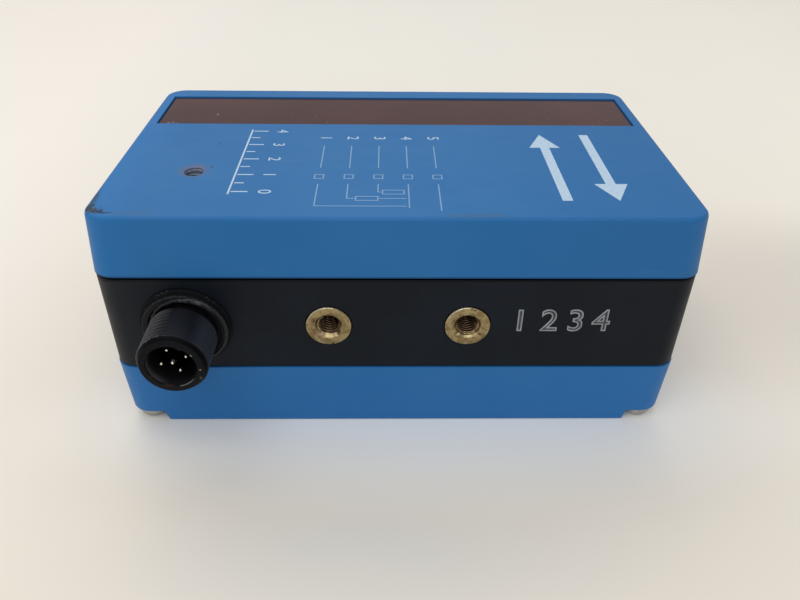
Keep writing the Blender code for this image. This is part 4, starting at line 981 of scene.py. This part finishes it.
def numeral(name, text, size, matrix, material, outline=0.0):
    """A plain numeral as a mesh: a flat filled one, or only its outline as a raised line."""
    curve = bpy.data.curves.new(name, "FONT")
    curve.body = text
    curve.size = size
    curve.align_x, curve.align_y = "CENTER", "CENTER"
    curve.resolution_u = 6
    if outline:
        curve.fill_mode = "NONE"
        curve.bevel_depth = outline
        curve.bevel_resolution = 2
    else:
        curve.extrude = INK_THICKNESS / 2
    made = placed(name, curve)
    bpy.context.view_layer.update()
    data = bpy.data.meshes.new_from_object(made)
    bpy.data.objects.remove(made)
    data.transform(matrix)
    data.materials.clear()
    data.materials.append(material)
    piece = placed(name, data)
    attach(piece, "root")


def wiring_strokes(columns):
    """Five wires with a small box in each. Three run to the fourth, two of them through a resistor."""
    box_y, box_half, above, below = 16.1, 0.8, 19.8, 13.1
    joined = columns[3] - 0.5
    strokes = [face_line(x, 29.9, x, above) for x in columns]
    strokes.append(face_line(columns[0], below, columns[0], 4.8, joined, 4.8))
    strokes.append(face_line(columns[1], below, columns[1], 7.6, -7.6, 7.6))
    strokes.append(face_box(-7.4, -3.6, 7.6, 0.75))
    strokes.append(face_line(-3.4, 7.6, joined, 7.6))
    strokes.append(face_line(columns[2], below, columns[2], 10.0, -3.0, 10.0))
    strokes.append(face_box(-2.8, 0.95, 10.0, 0.75))
    strokes.append(face_line(columns[3], below, columns[3], 4.2))
    strokes.append(face_line(columns[4], below, columns[4], 3.2))
    return strokes + [face_box(x - box_half, x + box_half, box_y, box_half) for x in columns]


def scale_strokes(start, pitch):
    """A range scale: one long line with nine ticks, every other one longer."""
    strokes = [face_line(-29.5, 9.0, -29.5, 38.0)]
    for index in range(9):
        y = start + pitch * index
        strokes.append(face_line(-29.1, y, -27.4 if index % 2 else -26.2, y))
    return strokes


def top_print():
    """A plain wiring chart, a range scale and two beam arrows in white ink."""
    columns = [-14.3 + 5.35 * index for index in range(5)]
    scale_start, tick_pitch = 10.0, 3.4
    flat_strokes("print_lines", wiring_strokes(columns), 0.21 * MM, FAINT_INK, "blue_housing")
    flat_strokes("print_scale", scale_strokes(scale_start, tick_pitch), 0.34 * MM, INK, "blue_housing")
    outline_arrow("print_arrow_out", 29.0, 7.0, 36.0)
    outline_arrow("print_arrow_back", 38.0, 36.0, 7.0)
    places = [(x, 33.9, index + 1) for index, x in enumerate(columns)]
    places += [(-23.4, scale_start + 2 * tick_pitch * index, index) for index in range(5)]
    lift = Vector((0, 0, PRINT_Z - TOP_Z + INK_THICKNESS / 2))
    turned = Matrix.Rotation(-math.pi / 2, 4, "Z")
    for order, (x, y, number) in enumerate(places, 1):
        place = Matrix.Translation(on_top(x, y) + lift) @ turned
        numeral(f"print_number_{order}", str(number), 3.3 * MM, place, INK)


def face_line(*values):
    """A stroke on the top face from x, y pairs in millimetres, y measured from the plug face."""
    return [tuple(on_top(x, y).xy) for x, y in zip(values[::2], values[1::2])]


def face_box(left, right, y, half):
    """A closed rectangle on the top face, half its height above and below y."""
    return face_line(left, y - half, right, y - half, right, y + half, left, y + half, left, y - half)


def outline_arrow(name, x, start, end):
    """A straight beam arrow as one outline."""
    way = math.copysign(1.0, end - start)
    shaft, head, length = 0.9, 3.0, 6.5
    half = [(shaft, start), (shaft, end - length * way), (head, end - length * way), (0, end)]
    points = face_line(*[value for across, along in half for value in (x + across, along)])
    points += face_line(*[value for across, along in half[-2::-1] for value in (x - across, along)])
    mesh = bmesh.new()
    mesh.faces.new([mesh.verts.new((*point, PRINT_Z)) for point in points])
    mesh.normal_update()
    thicken(mesh)
    piece_from(name, mesh, INK, "blue_housing")


def band_numbers():
    """Plain numbers in a row: a raised outline round a slightly paler face, a little slanted."""
    low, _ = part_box("middle_frame")
    slant, height = 0.14, 24.7 * MM
    upright = Matrix.Rotation(math.pi / 2, 4, "X") @ Matrix.Shear("XY", 4, (slant, 0))
    for number, x in enumerate((21.9, 27.2, 32.0, 36.6), 1):
        place = Matrix.Translation((x * MM, low.y, height)) @ upright
        for name, material, outline in (("stamp", STAMP, 0.14 * MM), ("stamp_face", STAMP_FACE, 0.0)):
            numeral(f"{name}_{number}", str(number), 6.6 * MM, place, material, outline)


def floor():
    """Pale worktop with a soft gloss and broad uneven patches: painted light towards the back and both sides,
    and painted shadow and light round the object.
    """
    paint = Paint("worktop", (0.845, 0.794, 0.707), 0.34, specular=0.3)
    # painted light: paler towards the back and towards both sides
    paint.tint(paint.along("Y", FACE_Y - 23 * MM, FACE_Y + 272 * MM), (0.911, 0.902, 0.839))
    paint.tint(paint.along("X", 25 * MM, 217 * MM), (0.98, 0.942, 0.856))
    paint.tint(paint.along("X", -52 * MM, -144 * MM), (0.971, 0.935, 0.877))
    # each patch has its place, its reach across and in depth, all in millimetres, and its colour
    # painted shadow right of the object and in front of it, and painted light close in front of it
    patches = ((103, 45, 67, 57, (0.753, 0.712, 0.646)),
               (-6, -33, 58, 19, (0.744, 0.724, 0.676)),
               (7, 0, 93, 26, (0.98, 0.98, 0.951)))
    for x, y, across, deep, color in patches:
        scale = (1 / (across * MM), 1 / (deep * MM), 0)
        away = paint.distance(Vector((x * MM, FACE_Y + y * MM, 0)), scale)
        paint.tint(paint.ramp(away, 1.0, 0.15), color)
    paint.rough(paint.noise(30 * MM, 2.0), 0.3, 0.4)
    mesh = bmesh.new()
    bmesh.ops.create_grid(mesh, x_segments=8, y_segments=8, size=1.5)
    data = bpy.data.meshes.new("worktop")
    mesh.to_mesh(data)
    mesh.free()
    data.materials.append(paint.material)
    made = placed("worktop", data)
    made.location = (0, 0, -0.03 * MM)


def area_light(name, place, target, size, energy, color):
    """A rectangular lamp that faces the target."""
    lamp = bpy.data.lights.new(name, "AREA")
    lamp.shape = "RECTANGLE"
    lamp.size, lamp.size_y = size
    lamp.energy = energy
    lamp.color = color
    made = placed(name, lamp)
    made.location = place
    made.rotation_euler = (Vector(target) - Vector(place)).to_track_quat("-Z", "Y").to_euler()


def light():
    """An even room and two soft lamps, a cool one in front and a warm one behind."""
    world = bpy.data.worlds.new("room")
    world.use_nodes = True
    background = world.node_tree.nodes["Background"]
    background.inputs["Color"].default_value = (0.98, 0.98, 1.0, 1.0)
    background.inputs["Strength"].default_value = 0.5
    bpy.context.scene.world = world
    target, size, energy = (0, 0, 0.02), (0.9, 0.7), 3.2
    area_light("front_light", (-0.1, -0.5, 0.8), target, size, energy, (0.96, 0.97, 0.97))
    area_light("back_light", (-0.2, 0.45, 0.8), target, size, energy, (1.0, 0.91, 0.79))


def camera():
    """The photograph's view, from its fitted position and axes."""
    data = bpy.data.cameras.new("camera")
    data.sensor_width = 36.0
    data.lens = 32.09
    data.clip_start = 0.005
    made = placed("camera", data)
    right = Vector((0.99982384, -0.01475323, 0.01160285))
    up = Vector((-0.00095644, 0.57733412, 0.81650744))
    back = Vector((-0.01874485, -0.8163747, 0.57721831))
    turn = Matrix((right, up, back)).transposed().to_4x4()
    made.matrix_world = Matrix.Translation((-0.002075, -0.133588, 0.101683)) @ turn
    bpy.context.scene.camera = made
    bpy.context.scene.view_settings.view_transform = "Standard"


camera()
dress_nodes()
plug()
plug_ring()
plug_key()
plug_seal()
pins()
inserts()
corner_screws()
lock_screw()
board_screws()
top_print()
band_numbers()
floor()
light()
